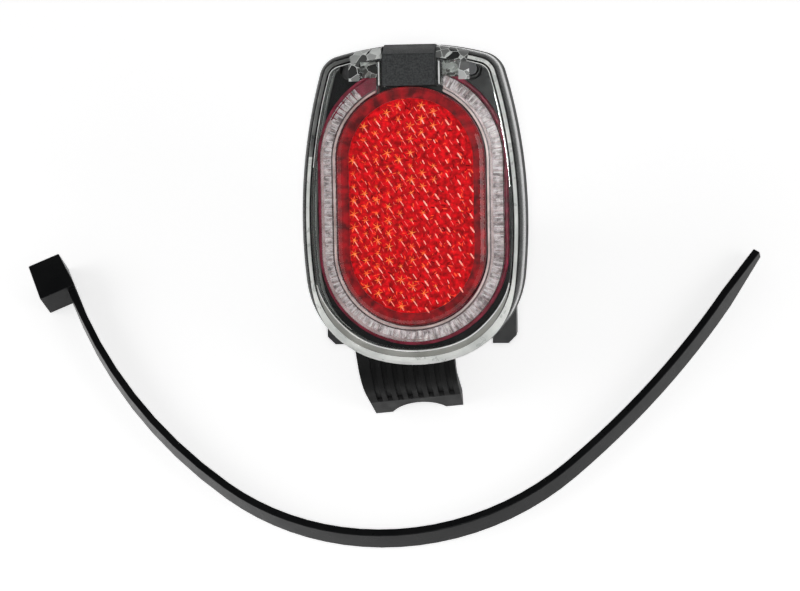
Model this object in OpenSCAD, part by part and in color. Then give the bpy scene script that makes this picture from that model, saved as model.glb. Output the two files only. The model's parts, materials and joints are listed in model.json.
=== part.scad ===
// Bicycle rear light for a seat stay, with the cable tie that fastens it lying around it.
// The origin is on the axis of the stay, in the middle of the saddle. +Y runs up along the stay and
// +Z from the stay to the lamp. The foot stands on the plane z = ground_z.
// The lamp has its own axes: u across its face, v up its face and w out of its face, from its back.

/* [Lamp outline] */
// Width of the red reflector
reflector_w = 27; // [25:0.25:29]
// Height of the red reflector
reflector_h = 43.6; // [40:0.2:48]
// Width of the clear rim beside the reflector
rim_w = 7.5; // [7:0.1:8.5]
// Height of the clear rim above and below the reflector
rim_h = 8.2; // [7.8:0.1:9]
// Height of the widest place over the middle of the cover
widest_v = -3; // [-6:0.5:0]
// Radius of the arched top edge
top_r = 50; // [40:1:70]
// Radius of the two shoulders
shoulder_r = 5; // [4.6:0.1:6]
// Radius of the long sides
side_r = 100; // [80:5:160]
// Radius of the two lower corners
corner_r = 18; // [14:0.5:20]
// Radius of the bottom edge
bottom_r = 27; // [24:0.5:30]

/* [Lamp shells] */
// Depth of the clear cover
cover_depth = 12; // [11:0.25:14]
// Wall of the clear cover
cover_wall = 1.8; // [1.4:0.1:2.2]
// Rounding of the cover's front edge
cover_edge_r = 3.4; // [2:0.1:3.6]
// How far the cover's sides lean in below the rounding
cover_draft = 0.6; // [0:0.1:0.8]
// Depth of the black housing with its seal
housing_depth = 14; // [13:0.25:17]
// Thickness of the housing's back wall
housing_floor = 2; // [1.6:0.1:2.4]
// Thickness of the housing's rim
housing_rim = 3.2; // [3:0.1:3.6]
// Thickness of the seal
seal_t = 0.6; // [0.4:0.1:1]
// Width of one lower lug
lug_w = 4.6; // [3:0.1:6]
// Distance from the side of the cover to the outer face of a lug
lug_inset = 2.7; // [2:0.1:4]
// Distance from the bottom of the cover up to the end of the lugs
lug_rise = 2.75; // [2:0.25:5]
// Depth of the lugs
lug_depth = 7; // [5:0.25:9]
// Width of the chamfer on a lug's outer corner
lug_chamfer = 1.5; // [0.5:0.1:2.5]

/* [Optics] */
// Thickness of the red reflector
reflector_t = 6; // [5:0.1:6.5]
// How far the reflector stands out of the cover
reflector_proud = 1; // [0.5:0.1:2]
// Width of the bevel around the reflector
reflector_bevel = 0.8; // [0.4:0.1:0.9]
// Distance from the outside of the cover to the light guide
guide_margin = 4.1; // [3.8:0.1:4.6]
// Thickness of the light guide
guide_t = 4.2; // [3.6:0.1:4.6]
// Gap from the reflector to the light guide
guide_gap = 0.4; // [0.3:0.05:0.6]
// Thickness of the tray behind the light guide
tray_floor = 1.6; // [1.2:0.1:2]
// Thickness of the tray's lip
tray_lip = 0.6; // [0.5:0.05:0.8]
// Thickness of the plate that carries the optics
carrier_t = 1.6; // [1.2:0.1:2]
// Width of the hood over the LEDs
hood_w = 9.7; // [9.2:0.1:11.2]
// How far the hood stands out of the cover
hood_proud = 1; // [0.5:0.1:2]
// Wall of the hood
hood_wall = 1.2; // [1:0.1:1.4]

/* [Electronics] */
// Distance from the side of the cover to the main board
board_inset = 8; // [7:0.25:9]
// Distance from the cover's ends to the main board's ends, on average
board_end_inset = 12; // [11.5:0.25:13]
// Thickness of both boards
board_t = 1.2; // [1:0.1:1.6]
// Height of the posts that carry the main board
board_stand = 6; // [5.8:0.1:6.4]
// Diameter of the stand light capacitor
capacitor_d = 11.5; // [9:0.5:13]
// Height of the stand light capacitor
capacitor_h = 5; // [4:0.1:5.4]
// Width of one supply tab
tab_w = 2.8; // [2:0.1:4.8]
// Thickness of one supply tab
tab_t = 0.5; // [0.4:0.1:0.8]
// Length of the tabs behind the lamp
tab_l = 6.3; // [5:0.1:8]

/* [Foot] */
// Angle between the lamp's back and the stay
tilt = 30; // [26:0.5:34]
// Turn of the lamp on the foot at rest
swivel_rest = 5.5; // [0:0.5:12]
// Diameter of the stay
stay_d = 13; // [12:0.5:14]
// Angle of the stay that the rubber groove embraces
saddle_wrap = 114; // [110:1:124]
// Length of the foot along the stay
foot_l = 42; // [40:0.5:46]
// Width of the foot at its sole
foot_w = 18; // [17:0.2:22]
// Angle by which the foot's outer side leans out above its sole
side_lean = 5.5; // [0:0.5:8]
// Angle by which the foot's lower end leans back above the ground
end_lean = 6.5; // [0:0.5:12]
// Rounding from the foot's slope to its lower end
toe_r = 8; // [4:0.5:10]
// How far the foot's sides are let in between its plate and its two ends
side_recess = 2.4; // [1:0.1:3]
// Rubber above the stay
shoe_crown = 1.8; // [1.4:0.1:2.4]
// Height of the lamp's pivot over the ground
pivot_height = 30.4; // [29:0.2:36]
// Sideways distance from the stay to the lamp's pivot
lamp_offset = 6.5; // [5:0.25:8]
// Distance from the middle of the foot up to the lamp's pivot
lamp_ahead = 10.6; // [10:0.2:12]
// Gap between the foot and the lamp's back, filled by the washer
swivel_gap = 0.8; // [0.6:0.1:1.2]
// Diameter of the washer
washer_d = 16; // [13:0.5:17]
// Diameter of the swivel screw
screw_d = 4; // [3.6:0.1:4.4]
// Wall of the foot under the washer
seat_t = 3; // [2.4:0.1:3.6]
// Length of the slot for the tie, along the stay
tie_slot_l = 6.4; // [5.6:0.1:7]
// Height of the slot for the tie
tie_slot_h = 4.4; // [4.2:0.1:5]
// Spacing of the grip ribs
rib_pitch = 2.1; // [1.8:0.05:2.6]
// Depth of the grooves between the ribs
rib_depth = 0.7; // [0.4:0.05:1]

/* [Cable tie] */
// Length of the tie with its head
tie_l = 205; // [190:1:215]
// Width of the strap
tie_w = 5; // [3.6:0.1:5.4]
// Thickness of the strap
tie_t = 1.8; // [1.1:0.05:2]
// Length of the head along the strap
head_l = 8.6; // [8:0.1:10]
// Thickness of the head across the strap
head_d = 7; // [5:0.1:8]
// Height of the head
head_h = 7.4; // [6.6:0.1:8]
// Length of the tapered tip
tip_l = 12; // [8:0.5:16]
// Bend radius of the strap next to the head
head_bend_r = 112; // [100:2:200]
// Turn of the strap next to the head
head_bend = 30.5; // [15:0.5:35]
// Bend radius of the strap below the lamp
low_bend_r = 57; // [50:1:64]
// Turn of the strap below the lamp
low_bend = 76.5; // [70:0.5:90]
// Bend radius of the strap next to the tip
tip_bend_r = 184; // [160:4:400]

/* [Hidden] */
$fn = 64;

// Clearances
slack = 0.15;
running_slack = 0.06;
thread_slack = 0.02;
past = 1;

// Sizes that follow the reflector and its rim
cover_w = reflector_w + 2 * rim_w;
cover_h = reflector_h + 2 * rim_h;
lug_span = cover_w - 2 * lug_inset;
lug_drop = cover_h / 2 - lug_rise;
guide_w = rim_w - guide_gap - guide_margin;
board_w = cover_w - 2 * board_inset;
board_l = cover_h - 2 * board_end_inset;

// Levels over the lamp's back
rim_z = housing_depth - seal_t;
front_z = housing_depth + cover_depth;
pane_z = front_z - cover_wall;
guide_z = pane_z - 2 * slack - guide_t;
carrier_top = guide_z - tray_floor;
carrier_z = carrier_top - carrier_t;
reflector_top = front_z + reflector_proud;
reflector_z = reflector_top - reflector_t;
hood_top = front_z + hood_proud;
board_z = housing_floor + board_stand;
board_top = board_z + board_t;

// Places on the lamp's face
housing_inset = 0.4;
housing_chamfer = 1.4;
cavity_inset = housing_inset + housing_rim;
carrier_inset = cover_wall + cover_draft + 2 * slack;
hood_v = reflector_h / 2 + slack;
hood_back_v = cover_h / 2 - housing_inset;
hood_l = hood_back_v - hood_v;
post_inset = 10;
post_u = cover_w / 2 - post_inset;
post_drop = 5;
post_v = cover_h / 2 - post_drop;
post_r = 1.8;
boss_r = 2.5;
cover_screw_r = 1.1;
cover_screw_head_r = 1.8;
cover_screw_head_t = 1.5;
cover_screw_grip = 4;
rib_t = 0.7;
guide_end_u = hood_w / 2 + 2 * slack + rib_t + 2 * slack;
led_room_v = hood_v + hood_wall;
led_room_l = hood_l - 2 * hood_wall;

// Main board and its fixings
board_v = 3;
board_margin = 2.6;
board_post_u = board_w / 2 - board_margin;
board_post_v = board_l / 2 - board_margin;
board_post_r = 2.2;
board_screw_r = 0.9;
board_screw_head_r = 1.7;
board_screw_head_t = 1.2;
board_screw_grip = 4;
tab_u = 4.5;
tab_margin = 3;
tab_v = board_v + board_l / 2 - tab_margin;
pin_u = 1.27;
pin_r = 0.32;
pin_margin = 1.1;
pin_v = led_room_v + slack + pin_margin;
tongue_w = 8;
led_size = [2.4, 2.4, 2.4];
led_v = pin_v + 3 * pin_r;
capacitor_drop = 8;
capacitor_v = board_v - capacitor_drop;

// Swivel
nut_af = 7;
nut_t = 3.2;
nut_wall = 2.2;
screw_head_r = 3.8;
screw_head_t = 2.6;
screw_end = 0.8;
screw_tip = housing_floor + nut_t + screw_end;

// Foot
stay_r = stay_d / 2;
ground_z = stay_r * cos(saddle_wrap / 2);
shoe_top = stay_r + shoe_crown;
pivot_z = ground_z + pivot_height;
pocket_w = 11;
pocket_wall = 3;
side_wall = 2.6;
slot_y = -6;
slot_roof = 1.2;
peg_r = 1.5;
peg_h = 2.2;
peg_margin = 5;
peg_y = foot_l / 2 - peg_margin;
grip_l = 16;
plate_t = 3;
end_wall = 3.4;

// Tie: where the strap leaves the head, and the way it points there
tie_start = [-73.9, 11.4];
tie_heading = -70.4;
tie_span = 145;
tie_play = 0.5;
tie_slot_t = tie_t + tie_play;
tie_slot_w = tie_w + tie_play;
tip_w = 2;

black = "#1c1d1e";
deep_black = "#101011";
red = "#c01018";
maroon = "#5a0c1c";
clear_plastic = [0.86, 0.88, 0.9, 0.35];
steel = "#b8bcc0";
brass = "#c8a84a";
board_green = "#1f5a34";

// The cover's outline: five tangent arcs a side
function meeting(a, ra, b, rb, side) =
    let (d = norm(b - a), e = (b - a) / d, x = (ra * ra - rb * rb + d * d) / (2 * d))
    a + x * e + side * sqrt(ra * ra - x * x) * [-e[1], e[0]];
function bearing(v) = atan2(v[1], v[0]);
function arc(c, r, from, to, steps) =
    [for (i = [0:steps - 1]) let (a = from + (to - from) * i / steps) c + r * [cos(a), sin(a)]];

top_c = [0, cover_h / 2 - top_r];
side_c = [cover_w / 2 - side_r, widest_v];
bottom_c = [0, bottom_r - cover_h / 2];
shoulder_c = meeting(side_c, side_r - shoulder_r, top_c, top_r - shoulder_r, 1);
corner_c = meeting(side_c, side_r - corner_r, bottom_c, bottom_r - corner_r, -1);
top_end = bearing(shoulder_c - top_c);
side_start = bearing(shoulder_c - side_c);
side_end = bearing(corner_c - side_c);
bottom_start = bearing(corner_c - bottom_c);

// The outline moved in by inset, clockwise from the middle of the top
function right_half(inset) = concat(
    arc(top_c, top_r - inset, 90, top_end, 4),
    arc(shoulder_c, shoulder_r - inset, top_end, side_start, 5),
    arc(side_c, side_r - inset, side_start, side_end, 6),
    arc(corner_c, corner_r - inset, side_end, bottom_start, 6),
    arc(bottom_c, bottom_r - inset, bottom_start, -90, 4));
function outline(inset) =
    let (half = right_half(inset), n = len(half))
    concat(half, [[0, inset - cover_h / 2]], [for (i = [n - 1:-1:1]) [-half[i][0], half[i][1]]]);
function ring(inset, z) = [for (p = outline(inset)) [p[0], p[1], z]];

// A closed solid through a stack of rings
module loft(rings) {
    n = len(rings[0]);
    last = (len(rings) - 1) * n;
    sides = [for (k = [0:len(rings) - 2], i = [0:n - 1])
        let (j = (i + 1) % n) [k * n + j, (k + 1) * n + j, (k + 1) * n + i, k * n + i]];
    polyhedron(
        points = [for (r = rings) each r],
        faces = concat([[for (i = [n - 1:-1:0]) i]], sides, [[for (i = [0:n - 1]) last + i]]));
}

// The band between two insets of the outline
module band(outer, inner, z, t) {
    translate([0, 0, z])
    linear_extrude(t)
    difference() {
        polygon(outline(outer));
        polygon(outline(inner));
    }
}

// An upright oval with round ends
module stadium(w, h) {
    square([w, h - w], center = true);
    for (side = [-1, 1]) translate([0, side * (h - w) / 2]) circle(d = w);
}

// An oval ring, open at the top where the hood is
module horseshoe(outer_w, outer_h, t, z, h) {
    translate([0, 0, z])
    difference() {
        linear_extrude(h)
        difference() {
            stadium(outer_w, outer_h);
            stadium(outer_w - 2 * t, outer_h - 2 * t);
        }
        translate([-guide_end_u, 0, -past]) cube([2 * guide_end_u, outer_h, h + 2 * past]);
    }
}

module in_pivot() {
    translate([lamp_offset, lamp_ahead, pivot_z]) rotate([tilt, 0, 0]) children();
}
module in_lamp() {
    in_pivot() rotate([0, 0, -swivel_rest]) children();
}
module at_posts() {
    for (side = [-1, 1]) translate([side * post_u, post_v, 0]) children();
}
module at_board_posts() {
    for (su = [-1, 1], sv = [-1, 1])
        translate([su * board_post_u, board_v + sv * board_post_v, 0]) children();
}
module at_board_screws() {
    for (side = [-1, 1]) translate([side * board_post_u, board_v - side * board_post_v, 0]) children();
}
module at_tabs() {
    for (side = [-1, 1]) translate([side * tab_u, tab_v, 0]) children();
}
module at_pins() {
    for (side = [-1, 1]) translate([side * pin_u, pin_v, 0]) children();
}

// Lamp

module rear_housing() {
    color(black)
    in_lamp() {
        difference() {
            union() {
                loft([ring(housing_inset + housing_chamfer, 0),
                    ring(housing_inset + housing_chamfer / 2, housing_chamfer / 2),
                    ring(housing_inset, rim_z)]);
                for (side = [0, 1])
                    mirror([side, 0, 0])
                    translate([lug_span / 2, -lug_drop, housing_floor])
                    linear_extrude(lug_depth)
                    polygon([[-lug_w, 0], [-lug_chamfer, 0], [0, lug_chamfer], [0, lug_drop / 2],
                        [-lug_w, lug_drop / 2]]);
            }
            difference() {
                translate([0, 0, housing_floor])
                linear_extrude(rim_z)
                polygon(outline(cavity_inset));
                at_posts() cylinder(r = boss_r, h = rim_z);
                at_board_posts() cylinder(r = board_post_r, h = board_z);
                cylinder(d = nut_af / cos(30) + 2 * nut_wall, h = housing_floor + nut_t);
            }
            at_posts() translate([0, 0, -past]) cylinder(r = cover_screw_r + slack, h = rim_z + 2 * past);
            at_posts()
                translate([0, 0, -past])
                cylinder(r = cover_screw_head_r + slack, h = past + cover_screw_head_t);
            at_board_screws()
                translate([0, 0, board_z - board_screw_grip - slack])
                cylinder(r = board_screw_r + thread_slack, h = board_screw_grip + past);
            translate([0, 0, housing_floor])
                cylinder(d = (nut_af + 2 * thread_slack) / cos(30), h = nut_t + past, $fn = 6);
            translate([0, 0, -past]) cylinder(d = screw_d + 2 * slack, h = housing_floor + 2 * past);
            at_tabs()
                translate([-tab_w / 2 - slack, -tab_t / 2 - slack, -past])
                cube([tab_w + 2 * slack, tab_t + 2 * slack, housing_floor + 2 * past]);
        }
    }
}

module front_cover() {
    rise = front_z - cover_edge_r;
    inner_lean = cover_wall + cover_draft / 2;
    inner_r = cover_edge_r - cover_wall / 2;
    inner_rise = pane_z - inner_r;
    color(clear_plastic)
    in_lamp() {
        difference() {
            union() {
                difference() {
                    loft(concat([ring(0, housing_depth)],
                        [for (a = [0:15:90])
                            ring(cover_draft + cover_edge_r * (1 - cos(a)), rise + cover_edge_r * sin(a))]));
                    loft(concat([ring(cover_wall, housing_depth - past)],
                        [for (a = [0:30:90])
                            ring(inner_lean + inner_r * (1 - cos(a)), inner_rise + inner_r * sin(a))]));
                }
                at_posts() translate([0, 0, rim_z]) cylinder(r = post_r, h = pane_z + cover_wall / 2 - rim_z);
                for (side = [-1, 1])
                    translate([side * (hood_w / 2 + 2 * slack + rib_t / 2) - rib_t / 2, hood_v, carrier_top])
                    cube([rib_t, hood_l - cover_wall, pane_z + cover_wall / 2 - carrier_top]);
            }
            translate([0, 0, pane_z - past])
                linear_extrude(cover_wall + 2 * past)
                stadium(reflector_w + 2 * slack, reflector_h + 2 * slack);
            translate([-hood_w / 2 - slack, hood_v - slack, carrier_top - slack])
                cube([hood_w + 2 * slack, cover_h / 2, front_z]);
            at_posts()
                translate([0, 0, rim_z - past])
                cylinder(r = cover_screw_r + thread_slack, h = cover_screw_grip + past + slack);
        }
    }
}

module cover_seal() {
    color("#2a2a2b") in_lamp() difference() {
        band(housing_inset + slack, cover_wall + slack, rim_z, seal_t);
        at_posts() cylinder(r = post_r + slack, h = front_z);
    }
}

module cover_screws() {
    color(steel) in_lamp() at_posts() {
        cylinder(r = cover_screw_head_r, h = cover_screw_head_t);
        cylinder(r = cover_screw_r, h = rim_z + cover_screw_grip);
    }
}

// A plug with a bevelled front edge: two cones and a prism
module reflector_panel() {
    straight = reflector_h - reflector_w;
    shoulder = reflector_top - reflector_bevel;
    color(red)
    in_lamp() {
        translate([0, 0, reflector_z])
            linear_extrude(shoulder - reflector_z)
            stadium(reflector_w, reflector_h);
        for (side = [-1, 1])
            translate([0, side * straight / 2, shoulder])
            cylinder(d1 = reflector_w, d2 = reflector_w - 2 * reflector_bevel, h = reflector_bevel);
        translate([0, straight / 2, shoulder])
            rotate([90, 0, 0])
            linear_extrude(straight)
            polygon([[-reflector_w / 2, 0], [reflector_w / 2, 0],
                [reflector_w / 2 - reflector_bevel, reflector_bevel],
                [reflector_bevel - reflector_w / 2, reflector_bevel]]);
    }
}

module inner_carrier() {
    ledge = 1.2;
    color(deep_black)
    in_lamp()
    difference() {
        union() {
            translate([0, 0, carrier_z]) linear_extrude(carrier_t) polygon(outline(carrier_inset));
            band(carrier_inset, cavity_inset, rim_z, carrier_z - rim_z);
            translate([0, 0, carrier_top])
                linear_extrude(reflector_z - carrier_top)
                difference() {
                    stadium(reflector_w - 2 * slack, reflector_h - 2 * slack);
                    stadium(reflector_w - 2 * slack - 2 * ledge, reflector_h - 2 * slack - 2 * ledge);
                }
        }
        at_posts() cylinder(r = post_r + slack, h = front_z);
        translate([-pin_u - 2 * pin_r, pin_v - 2 * pin_r, 0])
            cube([2 * pin_u + 4 * pin_r, 4 * pin_r, front_z]);
    }
}

module light_guide() {
    color([0.95, 0.85, 0.87, 0.6])
    in_lamp()
    horseshoe(reflector_w + 2 * guide_gap + 2 * guide_w, reflector_h + 2 * guide_gap + 2 * guide_w,
        guide_w, guide_z, guide_t);
}

module guide_tray() {
    margin = guide_gap + guide_w + slack + tray_lip;
    color(maroon)
    in_lamp() {
        horseshoe(reflector_w + 2 * margin, reflector_h + 2 * margin, margin, carrier_top, tray_floor);
        horseshoe(reflector_w + 2 * margin, reflector_h + 2 * margin, tray_lip, carrier_top,
            tray_floor + guide_t / 2);
    }
}

// The hood is open below and at both sides, where the light leaves it
module led_hood() {
    slope_v = hood_l / 4;
    slope_w = (hood_top - carrier_top) / 2;
    color(black)
    in_lamp()
    difference() {
        translate([-hood_w / 2, 0, 0])
            rotate([90, 0, 90])
            linear_extrude(hood_w)
            polygon([[hood_v, carrier_top], [hood_back_v, carrier_top], [hood_back_v, hood_top - slope_w],
                [hood_back_v - slope_v, hood_top], [hood_v, hood_top]]);
        translate([-hood_w, led_room_v, carrier_top - past])
            cube([2 * hood_w, led_room_l, guide_z + guide_t / 2 - carrier_top + past]);
    }
}

module led_board() {
    color(board_green)
    in_lamp()
    difference() {
        translate([-hood_w / 2 + hood_wall, led_room_v + slack, carrier_top])
            cube([hood_w - 2 * hood_wall, led_room_l - 2 * slack, board_t]);
        at_pins() cylinder(r = pin_r + thread_slack, h = front_z);
    }
}

module leds() {
    led_u = hood_w / 2 - hood_wall - led_size[0] / 2;
    color("#e8d9c0")
    in_lamp()
    for (side = [-1, 1])
        translate([side * led_u - led_size[0] / 2, led_v, carrier_top + board_t])
        cube(led_size);
}

// A tongue at its top takes the pins of the LED board
module main_board() {
    color(board_green)
    in_lamp()
    difference() {
        union() {
            translate([-board_w / 2, board_v - board_l / 2, board_z]) cube([board_w, board_l, board_t]);
            translate([-tongue_w / 2, board_v, board_z])
                cube([tongue_w, pin_v + pin_margin - board_v, board_t]);
        }
        at_board_posts() cylinder(r = board_screw_r + slack, h = front_z);
        at_pins() cylinder(r = pin_r + thread_slack, h = front_z);
        at_tabs()
            translate([-tab_w / 2 - thread_slack, -tab_t / 2 - thread_slack, 0])
            cube([tab_w + 2 * thread_slack, tab_t + 2 * thread_slack, front_z]);
    }
}

module board_chips() {
    rectifier = [4.7, 3.8, 1.5];
    regulator = [6.5, 3.5, 1.6];
    resistor = [2, 1.25, 0.6];
    chip_gap = 1.8;
    chip_v = capacitor_v + capacitor_d / 2 + chip_gap;
    resistor_v = chip_v + rectifier[1] + chip_gap;
    resistor_pitch = resistor[0] + chip_gap;
    color("#202224")
    in_lamp()
    translate([0, 0, board_top]) {
        translate([-rectifier[0] - chip_gap, chip_v, 0]) cube(rectifier);
        translate([chip_gap, chip_v, 0]) cube(regulator);
        for (i = [-2:1]) translate([i * resistor_pitch, resistor_v, 0]) cube(resistor);
    }
}

module standlight_capacitor() {
    color("#2c3a66")
    in_lamp()
    translate([0, capacitor_v, board_top]) cylinder(d = capacitor_d, h = capacitor_h);
}

module board_link_pins() {
    color(brass)
    in_lamp()
    at_pins()
    translate([0, 0, board_z - slack])
    cylinder(r = pin_r, h = carrier_top + board_t + slack - board_z + slack);
}

module board_screws() {
    color(steel)
    in_lamp()
    at_board_screws() {
        translate([0, 0, board_z - board_screw_grip])
            cylinder(r = board_screw_r, h = board_screw_grip + board_t + board_screw_head_t);
        translate([0, 0, board_top]) cylinder(r = board_screw_head_r, h = board_screw_head_t);
    }
}

module terminal_tabs() {
    hole_r = tab_w / 4;
    color(brass)
    in_lamp()
    at_tabs()
    difference() {
        translate([-tab_w / 2, -tab_t / 2, -tab_l]) cube([tab_w, tab_t, tab_l + board_top + slack]);
        translate([0, tab_t, hole_r + tab_w / 3 - tab_l])
            rotate([90, 0, 0])
            cylinder(r = hole_r, h = 2 * tab_t);
    }
}

module swivel_nut() {
    color(steel)
    in_lamp()
    translate([0, 0, housing_floor])
    difference() {
        cylinder(d = nut_af / cos(30), h = nut_t, $fn = 6);
        translate([0, 0, -past]) cylinder(d = screw_d + 2 * thread_slack, h = nut_t + 2 * past);
    }
}

module swivel_screw() {
    head_z = -swivel_gap - seat_t - running_slack;
    socket_af = 2.5;
    color(steel)
    in_lamp()
    difference() {
        union() {
            translate([0, 0, head_z]) cylinder(d = screw_d, h = screw_tip - head_z);
            translate([0, 0, head_z - screw_head_t]) cylinder(r = screw_head_r, h = screw_head_t);
        }
        translate([0, 0, head_z - screw_head_t - past])
            cylinder(d = socket_af / cos(30), h = screw_head_t / 2 + past, $fn = 6);
    }
}

// Foot

// Height of the foot's sloped top, moved down square to itself by drop
function slope_z(y, drop) = pivot_z + (y - lamp_ahead) * tan(tilt) - drop / cos(tilt);

// The slope and the lower end's leaning face, both moved in by depth, meet here in y and z
function toe_corner(depth) =
    let (lean = tan(end_lean), rise = tan(tilt), y = depth / cos(end_lean) - foot_l / 2,
        z = (slope_z(y - ground_z * lean, swivel_gap + depth)) / (1 - lean * rise))
    [y + (z - ground_z) * lean, z];

// The foot's lower end moved in by depth, from the slope round the toe and down to z
function toe(depth, z) =
    let (middle = toe_corner(toe_r), from = 90 + tilt, to = 180 - end_lean,
        y = depth / cos(end_lean) - foot_l / 2)
    concat(arc(middle, toe_r - depth, from, to, 6),
        [middle + (toe_r - depth) * [cos(to), sin(to)], [y + (z - ground_z) * tan(end_lean), z]]);

// A block from x0 to x1 and from y0 to y1, from z up to the slope
module under_slope(x0, x1, y0, y1, z, drop) {
    translate([x0, 0, 0])
    rotate([90, 0, 90])
    linear_extrude(x1 - x0)
    polygon([[y0, z], [y1, z], [y1, slope_z(y1, drop)], [y0, slope_z(y0, drop)]]);
}

// Each groove runs down the lower part of the slope and on round the toe and down the foot's end
module grip_grooves() {
    count = floor(foot_w / rib_pitch);
    groove_w = rib_pitch / 2;
    outside_y = -foot_l / 2 - past;
    grip_y = -foot_l / 2 + grip_l * cos(tilt);
    for (i = [0:count - 1])
        translate([(i - (count - 1) / 2) * rib_pitch - groove_w / 2, 0, 0])
        rotate([90, 0, 90])
        linear_extrude(groove_w)
        polygon(concat([[outside_y, shoe_top - past], [outside_y, pivot_z], [grip_y, pivot_z],
            [grip_y, slope_z(grip_y, swivel_gap + rib_depth)]], toe(rib_depth, shoe_top - past)));
}

// The foot's own section across the stay, with its leaning side
module foot_section(z, height) {
    translate([0, foot_l, 0])
    rotate([90, 0, 0])
    linear_extrude(2 * foot_l)
    polygon([[foot_w / 2, z], [foot_w / 2, height],
        [-foot_w / 2 - (height - ground_z) * tan(side_lean), height],
        [-foot_w / 2 - (z - ground_z) * tan(side_lean), z]]);
}

module stay_bracket() {
    end_y = foot_l / 2;
    pocket_x = lamp_offset - pocket_w / 2;
    pocket_y = slot_y + tie_slot_l / 2 + pocket_wall;
    pocket_z = shoe_top + pocket_wall;
    side_x = pocket_x + pocket_w + side_wall;
    pocket_drop = swivel_gap + seat_t;
    color(black)
    difference() {
        union() {
            intersection() {
                translate([-foot_w, 0, 0])
                    rotate([90, 0, 90])
                    linear_extrude(2 * foot_w)
                    polygon(concat([[end_y, shoe_top], [end_y, slope_z(end_y, swivel_gap)]],
                        toe(0, shoe_top)));
                foot_section(shoe_top, pivot_z + foot_l);
            }
            under_slope(0, side_x, pocket_y - side_wall, end_y, shoe_top, swivel_gap);
        }
        under_slope(foot_w / 2 - side_recess, foot_w, end_wall - end_y, pocket_y - side_wall,
            shoe_top - past, swivel_gap + plate_t);
        under_slope(-2 * foot_w, side_recess - foot_w / 2, end_wall - end_y, end_y - end_wall,
            shoe_top - past, swivel_gap + plate_t);
        under_slope(pocket_x, pocket_x + pocket_w, pocket_y, end_y + past, pocket_z, pocket_drop);
        translate([-foot_w, slot_y - tie_slot_l / 2, shoe_top + slot_roof])
            cube([2 * foot_w + side_x, tie_slot_l, tie_slot_h]);
        in_pivot() translate([0, 0, -pocket_drop - past])
            cylinder(d = screw_d + 2 * running_slack, h = pocket_drop + 2 * past);
        for (side = [-1, 1])
            translate([0, side * peg_y, shoe_top - past])
            cylinder(r = peg_r + running_slack, h = past + peg_h + slack);
        grip_grooves();
    }
}

module rubber_shoe() {
    color("#161617") {
        difference() {
            intersection() {
                translate([-foot_w, 0, 0])
                    rotate([90, 0, 90])
                    linear_extrude(2 * foot_w)
                    polygon([[-foot_l / 2, ground_z], [foot_l / 2, ground_z], [foot_l / 2, shoe_top],
                        [(shoe_top - ground_z) * tan(end_lean) - foot_l / 2, shoe_top]]);
                foot_section(ground_z, shoe_top);
            }
            for (side = [0, 1])
                mirror([side, 0, 0])
                translate([foot_w / 2 - side_recess, end_wall - foot_l / 2, ground_z - past])
                cube([foot_w, foot_l - 2 * end_wall, shoe_top]);
            translate([0, foot_l, 0]) rotate([90, 0, 0]) cylinder(r = stay_r, h = 2 * foot_l);
        }
        for (side = [-1, 1])
            translate([0, side * peg_y, shoe_top - slack])
            cylinder(r = peg_r, h = peg_h + slack);
    }
}

module swivel_washer() {
    color("#3a3a3a")
    in_pivot()
    translate([0, 0, -swivel_gap])
    difference() {
        cylinder(d = washer_d, h = swivel_gap - running_slack);
        translate([0, 0, -past]) cylinder(d = screw_d + 2 * running_slack, h = swivel_gap + 2 * past);
    }
}

// Tie

function ahead(heading) = [cos(heading), sin(heading)];
function left(heading) = [-sin(heading), cos(heading)];

module tie_head() {
    slot_x = -(head_l + tie_slot_t) / 2;
    pawl_t = tie_slot_t / 3;
    pawl_d = head_d / 3;
    difference() {
        translate([-head_l, tie_t - head_d, -head_h / 2]) cube([head_l, head_d, head_h]);
        translate([slot_x, tie_t - head_d - past, -tie_slot_w / 2])
            cube([tie_slot_t, head_d + 2 * past, tie_slot_w]);
    }
    translate([slot_x - slack, tie_t - (head_d + pawl_d) / 2, -tie_w / 4])
        cube([pawl_t + slack, pawl_d, tie_w / 2]);
}

// The strap leaves the head straight along u, and bends to the left three times with its outer face on
// the bend's radius. The head is wider than the strap, so the strap leans down from it to its tip.
module cable_tie() {
    low_heading = head_bend;
    tip_heading = head_bend + low_bend;
    bent = (head_bend_r * head_bend + low_bend_r * low_bend) * PI / 180;
    end_heading = tip_heading + (tie_l - head_l - tip_l - bent) / tip_bend_r * 180 / PI;
    head_c = [0, head_bend_r];
    low_c = head_c - (head_bend_r - low_bend_r) * left(low_heading);
    tip_c = low_c - (low_bend_r - tip_bend_r) * left(tip_heading);
    strap_end = tip_c - tip_bend_r * left(end_heading);
    sides = [for (inset = [0, tie_t]) concat(
        arc(head_c, head_bend_r - inset, -90, low_heading - 90, 8),
        arc(low_c, low_bend_r - inset, low_heading - 90, tip_heading - 90, 20),
        arc(tip_c, tip_bend_r - inset, tip_heading - 90, end_heading - 90, 12),
        [for (along = [0, tip_l]) strap_end + inset * left(end_heading) + along * ahead(end_heading)])];
    taper = (tie_w - tip_w) / 2 / tip_l;
    lean = atan((head_h - tie_w) / 2 / tie_span);
    color("#141415")
    translate([tie_start[0] + tie_span, tie_start[1], ground_z + tie_w / 2])
    rotate([0, lean, 0])
    translate([-tie_span, 0, 0])
    rotate(tie_heading) {
        tie_head();
        difference() {
            translate([0, 0, -tie_w / 2])
                linear_extrude(tie_w)
                polygon(concat(sides[0], [for (i = [len(sides[1]) - 1:-1:0]) sides[1][i]]));
            for (side = [0, 1])
                translate(strap_end)
                rotate(end_heading)
                mirror([0, 0, side])
                translate([0, head_d, 0])
                rotate([90, 0, 0])
                linear_extrude(2 * head_d)
                polygon([[-past, tie_w / 2 + taper * past], [tip_l + past, tip_w / 2 - taper * past],
                    [tip_l + past, tie_w], [-past, tie_w]]);
        }
    }
}

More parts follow.
